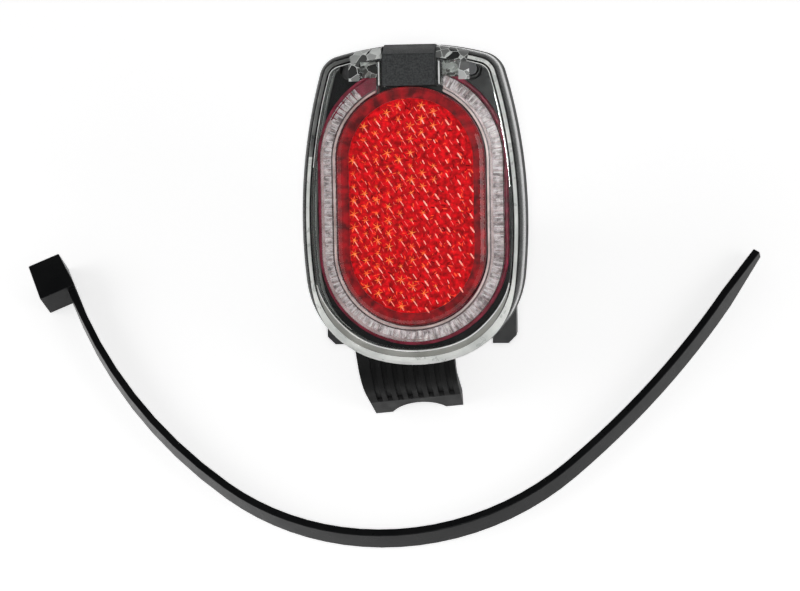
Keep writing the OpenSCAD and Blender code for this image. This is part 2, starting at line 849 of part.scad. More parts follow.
rear_housing();
front_cover();
cover_seal();
cover_screws();
reflector_panel();
inner_carrier();
light_guide();
guide_tray();
led_hood();
led_board();
leds();
main_board();
board_chips();
standlight_capacitor();
board_link_pins();
board_screws();
terminal_tabs();
swivel_nut();
swivel_screw();
stay_bracket();
rubber_shoe();
swivel_washer();
cable_tie();
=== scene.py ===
"""The looks of a bicycle rear light: clear cover, red reflector, light ring, black foot and loose tie."""

import json
import math
import random

import bmesh
import bpy
from mathutils import Matrix, Vector


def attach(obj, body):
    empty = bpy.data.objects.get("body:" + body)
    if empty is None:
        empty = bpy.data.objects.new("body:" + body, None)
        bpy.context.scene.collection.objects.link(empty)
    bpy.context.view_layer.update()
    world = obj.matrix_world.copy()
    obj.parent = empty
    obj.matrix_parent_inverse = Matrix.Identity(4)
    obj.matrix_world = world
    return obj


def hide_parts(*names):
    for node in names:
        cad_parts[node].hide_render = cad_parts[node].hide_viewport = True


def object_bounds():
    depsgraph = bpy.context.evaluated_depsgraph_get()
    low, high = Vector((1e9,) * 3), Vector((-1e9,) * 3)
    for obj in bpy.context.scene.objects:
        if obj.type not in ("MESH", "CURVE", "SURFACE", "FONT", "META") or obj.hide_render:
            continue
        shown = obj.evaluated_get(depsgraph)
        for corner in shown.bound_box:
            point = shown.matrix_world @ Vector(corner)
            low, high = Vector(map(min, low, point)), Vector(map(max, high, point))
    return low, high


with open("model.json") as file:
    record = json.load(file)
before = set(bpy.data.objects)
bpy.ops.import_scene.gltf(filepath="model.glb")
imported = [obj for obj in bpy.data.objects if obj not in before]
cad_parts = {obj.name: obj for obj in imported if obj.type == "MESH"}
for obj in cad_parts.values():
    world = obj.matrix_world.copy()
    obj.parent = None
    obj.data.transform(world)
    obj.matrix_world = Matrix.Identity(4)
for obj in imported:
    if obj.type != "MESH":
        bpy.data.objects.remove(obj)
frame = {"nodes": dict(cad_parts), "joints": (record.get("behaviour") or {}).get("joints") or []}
cad_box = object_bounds()

# Camera
# The photograph looks down on the light from a little below its face, through a long lens. Place and
# lens were fitted to the outlines of the cover, the foot and the tie.
mm = 0.001
camera_at = Vector((39.7, -164.3, 359.2)) * mm
camera_back = Vector((0.1072, -0.4275, 0.8976)).normalized()
camera_right = Vector((0.1053, 0.9026, 0.4173)).cross(camera_back).normalized()
camera_up = camera_back.cross(camera_right)
focal_px = 1883
width_px = 800

camera_data = bpy.data.cameras.new("camera")
camera_data.lens = camera_data.sensor_width * focal_px / width_px
camera = bpy.data.objects.new("camera", camera_data)
camera.matrix_world = (Matrix.Translation(camera_at)
                       @ Matrix((camera_right, camera_up, camera_back)).transposed().to_4x4())
bpy.context.scene.collection.objects.link(camera)
bpy.context.scene.camera = camera
bpy.context.scene.view_settings.view_transform = "Standard"

# Table and light
# A white table that fills the view, in a room with grey walls and a dark ceiling. A flash right behind
# the lens leaves hardly any shadow, and soft boxes stand at the left and the right.
table_size = 4.0
table_white = 0.86
show_white = 0.56
face_middle = Vector((6, -2, 50)) * mm


def seen_ray(tree):
    """A socket that is 1 for rays from the camera and for those that gloss and glass send on."""
    path = tree.nodes.new("ShaderNodeLightPath")
    total = path.outputs["Is Camera Ray"]
    for name in ("Is Glossy Ray", "Is Transmission Ray"):
        add = tree.nodes.new("ShaderNodeMath")
        add.operation = "MAXIMUM"
        tree.links.new(total, add.inputs[0])
        tree.links.new(path.outputs[name], add.inputs[1])
        total = add.outputs[0]
    return total


table_mesh = bpy.data.meshes.new("table")
half = table_size / 2
table_z = cad_box[0].z
table_mesh.from_pydata([(-half, -half, table_z), (half, -half, table_z), (half, half, table_z),
                        (-half, half, table_z)], [], [(0, 1, 2, 3)])
table = bpy.data.objects.new("table", table_mesh)
bpy.context.scene.collection.objects.link(table)
table_white_mat = bpy.data.materials.new("table_white")
table_white_mat.use_nodes = True
tree = table_white_mat.node_tree
tree.nodes.remove(tree.nodes["Principled BSDF"])
plain = tree.nodes.new("ShaderNodeBsdfDiffuse")
plain.inputs["Color"].default_value = (table_white, table_white, table_white, 1)
glow = tree.nodes.new("ShaderNodeEmission")
glow.inputs["Strength"].default_value = show_white
glow_ray = tree.nodes.new("ShaderNodeMixShader")
no_glow = tree.nodes.new("ShaderNodeEmission")
no_glow.inputs["Strength"].default_value = 0
total = tree.nodes.new("ShaderNodeAddShader")
tree.links.new(seen_ray(tree), glow_ray.inputs["Fac"])
tree.links.new(no_glow.outputs[0], glow_ray.inputs[1])
tree.links.new(glow.outputs[0], glow_ray.inputs[2])
tree.links.new(plain.outputs[0], total.inputs[0])
tree.links.new(glow_ray.outputs[0], total.inputs[1])
tree.links.new(total.outputs[0], tree.nodes["Material Output"].inputs["Surface"])
table_mesh.materials.append(table_white_mat)

world = bpy.data.worlds.new("room")
bpy.context.scene.world = world
world.use_nodes = True
tree = world.node_tree
way = tree.nodes.new("ShaderNodeTexCoord")
split = tree.nodes.new("ShaderNodeSeparateXYZ")
walls = tree.nodes.new("ShaderNodeValToRGB")
wall_lights = ((0.0, 0.7), (0.3, 0.6), (0.6, 0.25), (0.8, 0.1))
while len(walls.color_ramp.elements) < len(wall_lights):
    walls.color_ramp.elements.new(1)
for element, (height, light) in zip(walls.color_ramp.elements, wall_lights):
    element.position = height
    element.color = (light, light, light, 1)
tree.links.new(way.outputs["Generated"], split.inputs[0])
tree.links.new(split.outputs["Z"], walls.inputs["Fac"])
tree.links.new(walls.outputs["Color"], tree.nodes["Background"].inputs["Color"])


def soft_box(name, away, distance, size, power):
    """A square lamp in the direction away from the middle of the lamp's face, turned to it."""
    data = bpy.data.lights.new(name, "AREA")
    data.shape = "SQUARE"
    data.size = size
    data.energy = power
    lamp = bpy.data.objects.new(name, data)
    away = Vector(away).normalized()
    lamp.location = face_middle + away * distance
    lamp.rotation_euler = away.to_track_quat("Z", "Y").to_euler()
    lamp.visible_camera = False
    bpy.context.scene.collection.objects.link(lamp)
    return lamp


left_box = soft_box("left_box", (-0.9, 0.05, 0.55), 0.7, 0.4, 0.8)
left_box.visible_glossy = False
left_box.visible_transmission = False
soft_box("right_box", (0.8, -0.32, 0.5), 0.7, 0.3, 0.5)
to_lens = camera_at - face_middle
flash = soft_box("flash", to_lens, to_lens.length + 20 * mm, 0.04, 0.4)
flash.visible_transmission = False

# Rubber sole
# A moulded rubber sole, glued and pegged under the bracket, with a round groove for the stay.
# Like most of the black pieces, it is a copy of its solid with rounded edges.


def moulded(name, colour, cloud, roughness, grain, depth, cloud_size=7 * mm, shine=0.5):
    """A moulded plastic or rubber: cloudy from colour to cloud, unevenly glossy, with a fine grain."""
    material = bpy.data.materials.new(name)
    material.use_nodes = True
    tree = material.node_tree
    shader = tree.nodes["Principled BSDF"]
    place = tree.nodes.new("ShaderNodeTexCoord")

    def noise(size, detail):
        node = tree.nodes.new("ShaderNodeTexNoise")
        node.inputs["Scale"].default_value = 1 / size
        node.inputs["Detail"].default_value = detail
        tree.links.new(place.outputs["Object"], node.inputs["Vector"])
        return node

    clouds = tree.nodes.new("ShaderNodeMapRange")
    clouds.inputs["From Min"].default_value = 0.35
    clouds.inputs["From Max"].default_value = 0.65
    tree.links.new(noise(cloud_size, 4).outputs["Fac"], clouds.inputs["Value"])
    tint = tree.nodes.new("ShaderNodeMix")
    tint.data_type = "RGBA"
    tint.inputs["A"].default_value = (*colour, 1)
    tint.inputs["B"].default_value = (*cloud, 1)
    tree.links.new(clouds.outputs["Result"], tint.inputs["Factor"])
    tree.links.new(tint.outputs["Result"], shader.inputs["Base Color"])
    gloss = tree.nodes.new("ShaderNodeMapRange")
    gloss.inputs["From Min"].default_value = 0.3
    gloss.inputs["From Max"].default_value = 0.7
    gloss.inputs["To Min"].default_value = roughness * 0.85
    gloss.inputs["To Max"].default_value = roughness * 1.15
    tree.links.new(noise(2.5 * mm, 3).outputs["Fac"], gloss.inputs["Value"])
    tree.links.new(gloss.outputs["Result"], shader.inputs["Roughness"])
    bump = tree.nodes.new("ShaderNodeBump")
    bump.inputs["Strength"].default_value = 1
    bump.inputs["Distance"].default_value = depth
    tree.links.new(noise(grain, 2).outputs["Fac"], bump.inputs["Height"])
    tree.links.new(bump.outputs["Normal"], shader.inputs["Normal"])
    shader.inputs["Specular IOR Level"].default_value = shine
    return material


def rounded(node, radius, material, segments=2, sharp=35):
    """A copy of a solid, with its flat faces whole and its sharp edges rounded."""
    bm = bmesh.new()
    bm.from_mesh(frame["nodes"][node].data)
    bmesh.ops.remove_doubles(bm, verts=bm.verts, dist=0.002 * mm)
    bmesh.ops.dissolve_limit(bm, angle_limit=math.radians(1), verts=bm.verts, edges=bm.edges)
    edges = [e for e in bm.edges if len(e.link_faces) == 2 and e.calc_face_angle() > math.radians(sharp)]
    bmesh.ops.bevel(bm, geom=edges, offset=radius, offset_type="OFFSET", segments=segments, profile=0.5,
                    affect="EDGES", clamp_overlap=True)
    mesh = bpy.data.meshes.new(node + "_skin")
    bm.to_mesh(mesh)
    bm.free()
    return shown(node + "_skin", mesh, material)


def shown(name, mesh, material, sharp=35):
    """An object for a mesh, smooth but for its sharp edges."""
    mesh.materials.clear()
    mesh.materials.append(material)
    mesh.shade_smooth()
    mesh.set_sharp_from_angle(angle=math.radians(sharp))
    piece = bpy.data.objects.new(name, mesh)
    bpy.context.scene.collection.objects.link(piece)
    piece.modifiers.new("flat_faces", "WEIGHTED_NORMAL").keep_sharp = True
    return piece


def fit(piece, body, slot, *nodes):
    """The piece rides on a body and stands for these solids."""
    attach(piece, body)
    if nodes:
        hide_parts(*nodes)


sole_rubber = moulded("sole_rubber", (0.013, 0.013, 0.0135), (0.02, 0.02, 0.02), 0.62, 0.25 * mm, 0.03 * mm)
fit(rounded("rubber_shoe", 0.3 * mm, sole_rubber), "mount", "sole_rubber", "rubber_shoe")

# Bracket
# A black wedge of glass-filled nylon with grip ribs on its lower slope and end, a slot for the tie
# and a pocket from which the swivel screw is driven.
foot_black = moulded("foot_black", (0.005, 0.0052, 0.0052), (0.009, 0.0094, 0.0094), 0.55, 0.2 * mm,
                     0.02 * mm, shine=0.14)
fit(rounded("stay_bracket", 0.4 * mm, foot_black, segments=3), "mount", "black_shell", "stay_bracket")

# Swivel washer
# A friction washer of hard rubber, held between the bracket and the lamp's back by the swivel screw.
# Like the other solids that stay as they are, it only gets a finish.


def coat(node, material):
    """Give a solid that stays as it is its finish."""
    finishes = frame["nodes"][node].data.materials
    finishes.clear()
    finishes.append(material)


seal_rubber = moulded("seal_rubber", (0.011, 0.011, 0.012), (0.017, 0.017, 0.017), 0.58, 0.3 * mm,
                      0.02 * mm)
coat("swivel_washer", seal_rubber)

# Screws, nut, pins and tabs
# The swivel's screw and nut and the boards' screws are zinc-plated steel, and the cover's are blackened.
# The pins and tabs that carry current are tinned brass, pressed into the boards.


def metal(name, colour, stain, roughness):
    """A plated metal with faint stains and uneven gloss."""
    material = moulded(name, colour, stain, roughness, 0.4 * mm, 0.004 * mm)
    material.node_tree.nodes["Principled BSDF"].inputs["Metallic"].default_value = 1
    return material


plated_steel = metal("plated_steel", (0.55, 0.56, 0.57), (0.66, 0.67, 0.68), 0.28)
tinned_brass = metal("tinned_brass", (0.66, 0.5, 0.22), (0.78, 0.64, 0.34), 0.25)
black_steel = metal("black_steel", (0.03, 0.03, 0.032), (0.06, 0.06, 0.062), 0.4)
for node, material in (("cover_screws", black_steel), ("board_screws", plated_steel),
                       ("swivel_nut", plated_steel), ("swivel_screw", plated_steel),
                       ("terminal_tabs", tinned_brass), ("board_link_pins", tinned_brass)):
    coat(node, material)

# Housing
# The back shell of the lamp, a grained black moulding with two square lugs at its lower corners. It holds
# the boards and the swivel's nut, and two screws from its back pull the cover onto it.
black_shell = moulded("black_shell", (0.009, 0.0095, 0.01), (0.014, 0.0145, 0.015), 0.48, 0.18 * mm,
                      0.022 * mm)
fit(rounded("rear_housing", 0.35 * mm, black_shell), "lamp", "black_shell", "rear_housing")

# Electronics
# Two green boards with their parts, screwed and pinned inside the housing. They are hidden, but for what
# the clear cover lets through.
solder_mask = moulded("solder_mask", (0.008, 0.07, 0.025), (0.012, 0.1, 0.04), 0.3, 0.5 * mm, 0.01 * mm)
chip_black = moulded("chip_black", (0.013, 0.013, 0.014), (0.02, 0.02, 0.02), 0.5, 0.2 * mm, 0.01 * mm)
led_package = moulded("led_package", (0.75, 0.66, 0.42), (0.85, 0.78, 0.58), 0.35, 0.3 * mm, 0.01 * mm)
sleeve = moulded("capacitor_sleeve", (0.015, 0.03, 0.12), (0.025, 0.05, 0.18), 0.3, 0.5 * mm, 0.01 * mm)
for node, material in (("main_board", solder_mask), ("led_board", solder_mask), ("board_chips", chip_black),
                       ("leds", led_package), ("standlight_capacitor", sleeve)):
    coat(node, material)

# Seal and carrier
# A thin grey silicone seal lies on the housing's rim, under the cover. The plate that carries the optics
# is a polished black moulding.
grey_silicone = moulded("grey_silicone", (0.12, 0.12, 0.118), (0.2, 0.2, 0.195), 0.5, 0.4 * mm, 0.01 * mm)
coat("cover_seal", grey_silicone)
black_gloss = moulded("black_gloss", (0.006, 0.006, 0.007), (0.009, 0.009, 0.01), 0.12, 0.8 * mm,
                      0.004 * mm)
fit(rounded("inner_carrier", 0.2 * mm, black_gloss), "lamp", "black_gloss", "inner_carrier")

# Light guide
# A clear ring around the reflector, open at the hood where the light enters it. Prisms across its back
# throw the light forward, drawn as a painted reflection: silver-white ribs with painted sparkle and glints.
swivel = next(j for j in frame["joints"] if j["name"] == "bracket_swivel")
swivel_rest = math.radians(5.5)
lamp_out = Vector(swivel["axis"]).normalized()
lamp_side = Vector((1, 0, 0))
lamp_place = (Matrix.Translation(Vector(swivel["pos_m"]))
              @ Matrix((lamp_side, lamp_out.cross(lamp_side), lamp_out)).transposed().to_4x4()
              @ Matrix.Rotation(-swivel_rest, 4, "Z"))
reflector_w = 27 * mm
reflector_h = 43.6 * mm
guide_gap = 0.4 * mm
guide_w = 3 * mm
guide_t = 4.2 * mm
guide_z = 19.7 * mm
guide_end_u = 6.15 * mm
guide_round = 0.5 * mm
guide_steps = 40
rib_pitch = 1.05 * mm
rib_room = 0.5 * mm
hair = 0.02 * mm


def oval(width, height, steps):
    """Points round an upright oval with round ends, counter-clockwise from the middle of its right side."""
    radius = width / 2
    reach = (height - width) / 2
    points = [Vector((radius, 0))]
    for middle, start in ((reach, 0), (-reach, math.pi)):
        for i in range(steps + 1):
            angle = start + math.pi * i / steps
            points.append(Vector((radius * math.cos(angle), middle + radius * math.sin(angle))))
        points.append(Vector((-points[0].x if middle > 0 else points[0].x, 0)))
    return points[:-1]


def strip(rings, close=True, caps=False):
    """A mesh through rings of points, each joined to the next one."""
    bm = bmesh.new()
    rows = [[bm.verts.new(p) for p in ring] for ring in rings]
    count = len(rows[0])
    for below, above in zip(rows, rows[1:] + ([] if caps else [rows[0]])):
        for i in range(count if close else count - 1):
            j = (i + 1) % count
            bm.faces.new((below[i], below[j], above[j], above[i]))
    if caps:
        bm.faces.new(reversed(rows[0]))
        bm.faces.new(rows[-1])
    if not close:
        bm.faces.new([row[0] for row in rows])
        bm.faces.new([row[-1] for row in reversed(rows)])
    bmesh.ops.recalc_face_normals(bm, faces=bm.faces)
    mesh = bpy.data.meshes.new("strip")
    bm.to_mesh(mesh)
    bm.free()
    return mesh


def arc(middle, radius, start, stop, steps):
    """Points on an arc, without its last one."""
    angles = [start + (stop - start) * i / steps for i in range(steps)]
    return [middle + radius * Vector((math.cos(a), math.sin(a))) for a in angles]


def horseshoe(grow):
    """The path round the reflector, grown by grow, from the hood's left side to its right side."""
    radius = reflector_w / 2 + grow
    reach = Vector((0, (reflector_h - reflector_w) / 2))
    end = math.acos(guide_end_u / radius)
    return (arc(reach, radius, math.pi - end, math.pi, guide_steps // 2)
            + arc(-reach, radius, math.pi, 2 * math.pi, guide_steps)
            + [Vector((radius, 0)) - reach]
            + arc(reach, radius, 0, end, guide_steps // 2)
            + [reach + radius * Vector((math.cos(end), math.sin(end)))])


inner_edge = horseshoe(guide_gap)
outer_edge = horseshoe(guide_gap + guide_w)
section = [(0, rib_room), (0, guide_t - guide_round), (0.3 * guide_round, guide_t - 0.3 * guide_round),
           (guide_round, guide_t), (guide_w - guide_round, guide_t),
           (guide_w - 0.3 * guide_round, guide_t - 0.3 * guide_round), (guide_w, guide_t - guide_round),
           (guide_w, rib_room)]
rings = []
for across, up in section:
    share = across / guide_w
    rings.append([(*a.lerp(b, share), guide_z + up) for a, b in zip(inner_edge, outer_edge)])
guide_mesh = strip(rings, close=False)
guide_mesh.transform(lamp_place)


def clear(name, colour, ior, roughness, ripple_size, ripple):
    """A clear plastic with a slightly wavy surface."""
    material = bpy.data.materials.new(name)
    material.use_nodes = True
    tree = material.node_tree
    shader = tree.nodes["Principled BSDF"]
    shader.inputs["Base Color"].default_value = (*colour, 1)
    shader.inputs["Transmission Weight"].default_value = 1
    shader.inputs["IOR"].default_value = ior
    shader.inputs["Roughness"].default_value = roughness
    place = tree.nodes.new("ShaderNodeTexCoord")
    waves = tree.nodes.new("ShaderNodeTexNoise")
    waves.inputs["Scale"].default_value = 1 / ripple_size
    bump = tree.nodes.new("ShaderNodeBump")
    bump.inputs["Strength"].default_value = 1
    bump.inputs["Distance"].default_value = ripple
    tree.links.new(place.outputs["Object"], waves.inputs["Vector"])
    tree.links.new(waves.outputs["Fac"], bump.inputs["Height"])
    tree.links.new(bump.outputs["Normal"], shader.inputs["Normal"])
    return material


clear_guide = clear("clear_guide", (0.96, 0.9, 0.92), 1.49, 0.06, 1.5 * mm, 0.01 * mm)
guide = shown("light_guide_ring", guide_mesh, clear_guide)
guide.visible_shadow = False
fit(guide, "lamp", "clear_guide", "light_guide")


def copies_tree(name, base, measure):
    """A new node tree that copies an item of chance size onto a base, with one measure more to set."""
    tree = bpy.data.node_groups.new(name, "GeometryNodeTree")
    for label, kind in ((base, "NodeSocketGeometry"), ("Item", "NodeSocketObject"),
                        (measure, "NodeSocketFloat"), ("Least", "NodeSocketFloat"),
                        ("Most", "NodeSocketFloat"), ("Seed", "NodeSocketInt"),
                        ("Finish", "NodeSocketMaterial")):
        tree.interface.new_socket(label, in_out="INPUT", socket_type=kind)
    tree.interface.new_socket("Copies", in_out="OUTPUT", socket_type="NodeSocketGeometry")
    start = tree.nodes.new("NodeGroupInput")
    item = tree.nodes.new("GeometryNodeObjectInfo")
    copies = tree.nodes.new("GeometryNodeInstanceOnPoints")
    real = tree.nodes.new("GeometryNodeRealizeInstances")
    finish = tree.nodes.new("GeometryNodeSetMaterial")
    end = tree.nodes.new("NodeGroupOutput")
    tree.links.new(start.outputs["Item"], item.inputs["Object"])
    tree.links.new(item.outputs["Geometry"], copies.inputs["Instance"])
    size = chance_value(tree, start, start.outputs["Least"], start.outputs["Most"])
    tree.links.new(size, copies.inputs["Scale"])
    tree.links.new(copies.outputs["Instances"], real.inputs["Geometry"])
    tree.links.new(real.outputs["Geometry"], finish.inputs["Geometry"])
    tree.links.new(start.outputs["Finish"], finish.inputs["Material"])
    tree.links.new(finish.outputs["Geometry"], end.inputs["Copies"])
    return tree, start, copies


def chance_value(tree, start, least, most):
    """A socket with a chance number between two others, drawn anew for each copy."""
    draw = tree.nodes.new("FunctionNodeRandomValue")
    low, high = [s for s in draw.inputs if s.name in ("Min", "Max") and s.type == "VALUE"]
    tree.links.new(least, low)
    tree.links.new(most, high)
    tree.links.new(start.outputs["Seed"], draw.inputs["Seed"])
    return next(s for s in draw.outputs if s.type == "VALUE")


def along_tree(name):
    """Nodes that set copies of an item along a path in the flat, turned with it and of chance size."""
    tree, start, copies = copies_tree(name, "Path", "Pitch")
    curve = tree.nodes.new("GeometryNodeMeshToCurve")
    spread = tree.nodes.new("GeometryNodeResampleCurve")
    spread.mode = "LENGTH"
    tangent = tree.nodes.new("GeometryNodeInputTangent")
    turn = tree.nodes.new("FunctionNodeAlignRotationToVector")
    turn.axis = "X"
    turn.pivot_axis = "Z"
    link = tree.links.new
    link(start.outputs["Path"], curve.inputs["Mesh"])
    link(curve.outputs["Curve"], spread.inputs["Curve"])
    link(start.outputs["Pitch"], spread.inputs["Length"])
    link(tangent.outputs["Tangent"], turn.inputs["Vector"])
    link(spread.outputs["Curve"], copies.inputs["Points"])
    link(turn.outputs["Rotation"], copies.inputs["Rotation"])
    return tree


def grown(name, tree, base, values):
    """The plain mesh that a node tree makes from a base mesh."""
    holder = bpy.data.objects.new(name, base)
    bpy.context.scene.collection.objects.link(holder)
    modifier = holder.modifiers.new(name, "NODES")
    modifier.node_group = tree
    for socket in tree.interface.items_tree:
        if socket.in_out == "INPUT" and socket.name in values:
            modifier[socket.identifier] = values[socket.name]
    bpy.context.view_layer.update()
    graph = bpy.context.evaluated_depsgraph_get()
    mesh = bpy.data.meshes.new_from_object(holder.evaluated_get(graph))
    bpy.data.objects.remove(holder)
    return mesh


def path_mesh(points):
    """A chain of edges through points."""
    mesh = bpy.data.meshes.new("path")
    mesh.from_pydata([(*p, 0) if len(p) == 2 else p for p in points], [],
                     [(i, i + 1) for i in range(len(points) - 1)])
    return mesh


def loose_item(name, points, faces):
    """A small mesh object that a node tree copies, and that is removed afterwards."""
    mesh = bpy.data.meshes.new(name)
    mesh.from_pydata(points, [], faces)
    bm = bmesh.new()
    bm.from_mesh(mesh)
    bmesh.ops.recalc_face_normals(bm, faces=bm.faces)
    bm.to_mesh(mesh)
    bm.free()
    item = bpy.data.objects.new(name, mesh)
    bpy.context.scene.collection.objects.link(item)
    return item


foil_t = 0.06 * mm
foil_start = 12
rib_start = 5
rib_in = 0.95 * mm
rib_out = 2.65 * mm
# Painted light: the pale pinkish sheet under the ribs stands for light inside the guide.
painted_light_sheet = moulded("guide_foil", (0.4, 0.3, 0.29), (0.68, 0.56, 0.55), 0.3, 0.5 * mm, 0.01 * mm, 2 * mm)
foil_edges = list(zip(inner_edge[foil_start:], outer_edge[foil_start:]))
foil_mesh = strip([[(*a.lerp(b, share), guide_z + up) for a, b in foil_edges]
                   for share, up in ((0.02, hair), (0.02, foil_t), (0.98, foil_t), (0.98, hair))],
                  close=False)
foil_mesh.transform(lamp_place)
fit(shown("guide_foil", foil_mesh, painted_light_sheet), "lamp", "clear_guide")


wedge_faces = [(0, 1, 2), (3, 4, 5), (0, 1, 4, 3), (1, 2, 5, 4), (2, 0, 3, 5)]


def prism(name, half, reach, height):
    """A ridge across the path, for a node tree to copy."""
    return loose_item(name, [(-half, -reach, 0), (half, -reach, 0), (0, -reach, height),
                             (-half, reach, 0), (half, reach, 0), (0, reach, height)], wedge_faces)


along = along_tree("copies_along_path")
# Painted sparkle: the ribs' colour runs from grey to white in small clouds, a painted reflection.
rib_painted_sheen = moulded("rib_painted_sheen", (0.26, 0.23, 0.23), (1.0, 0.97, 0.97), 0.2, 0.3 * mm, 0.02 * mm,
                     0.9 * mm)
rib_air = 0.08 * mm
rib_h = rib_room - foil_t - rib_air
rib = prism("rib", rib_pitch * 0.44, (rib_out - rib_in) / 2, rib_h)
rib_path = horseshoe(guide_gap + (rib_in + rib_out) / 2)[rib_start:]
ribs_mesh = grown("guide_ribs", along, path_mesh(rib_path),
                  {"Item": rib, "Pitch": rib_pitch, "Least": 1.0, "Most": 1.0, "Seed": 1,
                   "Finish": rib_painted_sheen})
bpy.data.objects.remove(rib)
ribs_mesh.transform(lamp_place @ Matrix.Translation((0, 0, guide_z + foil_t + hair)))
fit(shown("guide_ribs", ribs_mesh, rib_painted_sheen, sharp=20), "lamp", "clear_guide")
# Painted glints: white dashes of chance size along the ribs.
painted_glint_white = moulded("painted_glint_white", (0.75, 0.72, 0.72), (1.0, 1.0, 1.0), 0.2, 0.3 * mm, 0.01 * mm,
                      1.5 * mm)
glint_pitch = 0.83 * mm
glint_sink = 0.03 * mm
glint = prism("glint", 0.16 * mm, 0.75 * mm, 0.06 * mm)
glints_mesh = grown("rib_glints", along, path_mesh(rib_path),
                    {"Item": glint, "Pitch": glint_pitch, "Least": 0.1, "Most": 1.1, "Seed": 5,
                     "Finish": painted_glint_white})
bpy.data.objects.remove(glint)
glints_mesh.transform(lamp_place @ Matrix.Translation((0, 0, guide_z + rib_room - glint_sink)))
fit(shown("rib_glints", glints_mesh, painted_glint_white, sharp=20), "lamp", "clear_guide")

# Tray
# A dark red moulded channel in which the light guide lies. Its outer lip shows as a thin line round the
# guide.
tray_z = 18.1 * mm
tray_lip = 21.8 * mm
tray_out = 4.15 * mm - guide_gap
tray_in = 0.15 * mm
groove_w = guide_w + 0.1 * mm
lip_round = 0.15 * mm
section = [(-tray_in, tray_z), (-tray_in, guide_z - hair), (groove_w, guide_z - hair),
           (groove_w, tray_lip - lip_round), (groove_w + lip_round, tray_lip),
           (tray_out - lip_round, tray_lip), (tray_out, tray_lip - lip_round), (tray_out, tray_z)]
tray_mesh = strip([[(*a.lerp(b, across / guide_w), z) for a, b in zip(inner_edge, outer_edge)]
                   for across, z in section], close=False)
tray_mesh.transform(lamp_place)
dark_red = moulded("dark_red", (0.13, 0.004, 0.016), (0.32, 0.014, 0.05), 0.3, 0.6 * mm, 0.006 * mm, 2 * mm,
                   0.15)
fit(shown("dark_red_tray", tray_mesh, dark_red), "lamp", "dark_red", "guide_tray")

# Reflector
# A red oval retro-reflector: a clear front plate over a smooth dark margin and a field of cube corners.
# Their flashes from corners and edges are painted highlights: orange stars and pale slanted dashes.
reflector_top = 27 * mm
reflector_z = 21 * mm
bevel = 0.8 * mm
plate_z = 25.4 * mm
field_top = 25.3 * mm
field_margin = 2.05 * mm
corner_pitch = 2.45 * mm
corner_rise = 0.45
corner_error = 0.06 * mm
glint_t = 0.03 * mm
oval_steps = 48


def cut(target, others, operation):
    """The mesh left when others are taken from target, or joined to it."""
    holder = bpy.data.objects.new("work", target)
    bpy.context.scene.collection.objects.link(holder)
    helpers = []
    for other in others:
        helper = bpy.data.objects.new("helper", other)
        bpy.context.scene.collection.objects.link(helper)
        helpers.append(helper)
        step = holder.modifiers.new("step", "BOOLEAN")
        step.operation = operation
        step.solver = "EXACT"
        step.object = helper
    bpy.context.view_layer.update()
    graph = bpy.context.evaluated_depsgraph_get()
    mesh = bpy.data.meshes.new_from_object(holder.evaluated_get(graph))
    for obj in helpers + [holder]:
        bpy.data.objects.remove(obj)
    return mesh


def oval_block(width, height, low, high):
    """An upright oval block between two heights."""
    ring = oval(width, height, oval_steps)
    return strip([[(*p, low) for p in ring], [(*p, high) for p in ring]], caps=True)


def scatter_tree(name):
    """Nodes that set an item on every point, with a chance size and turn."""
    tree, start, copies = copies_tree(name, "Points", "Turn")
    back = tree.nodes.new("ShaderNodeMath")
    back.operation = "MULTIPLY"
    back.inputs[1].default_value = -1
    turn = tree.nodes.new("ShaderNodeCombineXYZ")
    spin = tree.nodes.new("FunctionNodeEulerToRotation")
    link = tree.links.new
    link(start.outputs["Turn"], back.inputs[0])
    angle = chance_value(tree, start, back.outputs[0], start.outputs["Turn"])
    link(angle, turn.inputs["Z"])
    link(turn.outputs["Vector"], spin.inputs["Euler"])
    link(start.outputs["Points"], copies.inputs["Points"])
    link(spin.outputs["Rotation"], copies.inputs["Rotation"])
    return tree


scatter = scatter_tree("scattered_items")
corner_r = corner_pitch / math.sqrt(3)
corner_step = corner_rise * corner_r / math.sqrt(2)
columns = math.ceil(reflector_w / 2 / (1.5 * corner_r)) + 1
rows = math.ceil(reflector_h / 2 / corner_pitch) + 1
lattice = [Vector((c * 1.5 * corner_r, (r + (c % 2) / 2) * corner_pitch))
           for c in range(-columns, columns + 1) for r in range(-rows, rows + 1)]


def point_mesh(points):
    """A mesh of loose points in the flat."""
    mesh = bpy.data.meshes.new("points")
    mesh.from_pydata([(*p, 0) for p in points], [], [])
    return mesh


def close_below(bm, level):
    """Walls from the border of a field down to a level, and a floor there."""
    border = [e for e in bm.edges if len(e.link_faces) == 1]
    lowered = bmesh.ops.extrude_edge_only(bm, edges=border)["geom"]
    for v in lowered:
        if isinstance(v, bmesh.types.BMVert):
            v.co.z = level
    bmesh.ops.contextual_create(bm, geom=[e for e in lowered if isinstance(e, bmesh.types.BMEdge)])
    bmesh.ops.recalc_face_normals(bm, faces=bm.faces)


def corner_field(finish):
    """A block whose top is a field of cube corners, larger than the reflector."""
    rim = [(corner_r * math.cos(math.pi * k / 3), corner_r * math.sin(math.pi * k / 3),
            corner_step * (1 if k % 2 else 2)) for k in range(6)]
    cell = loose_item("cell", [(0, 0, 0)] + rim, [(0, 2, 3, 4), (0, 4, 5, 6), (0, 6, 1, 2)])
    cells = grown("corner_cells", scatter, point_mesh(lattice),
                  {"Item": cell, "Least": 1.0, "Most": 1.0, "Turn": 0.0, "Seed": 1, "Finish": finish})
    bpy.data.objects.remove(cell)
    bm = bmesh.new()
    bm.from_mesh(cells)
    bmesh.ops.remove_doubles(bm, verts=bm.verts, dist=corner_pitch / 100)
    chance = random.Random(7)
    for v in bm.verts:
        v.co.z += chance.uniform(-corner_error, 0)
    close_below(bm, -5 * mm)
    mesh = bpy.data.meshes.new("corner_field")
    bm.to_mesh(mesh)
    bm.free()
    mesh.transform(Matrix.Translation((0, 0, field_top - 2 * corner_step)))
    return mesh


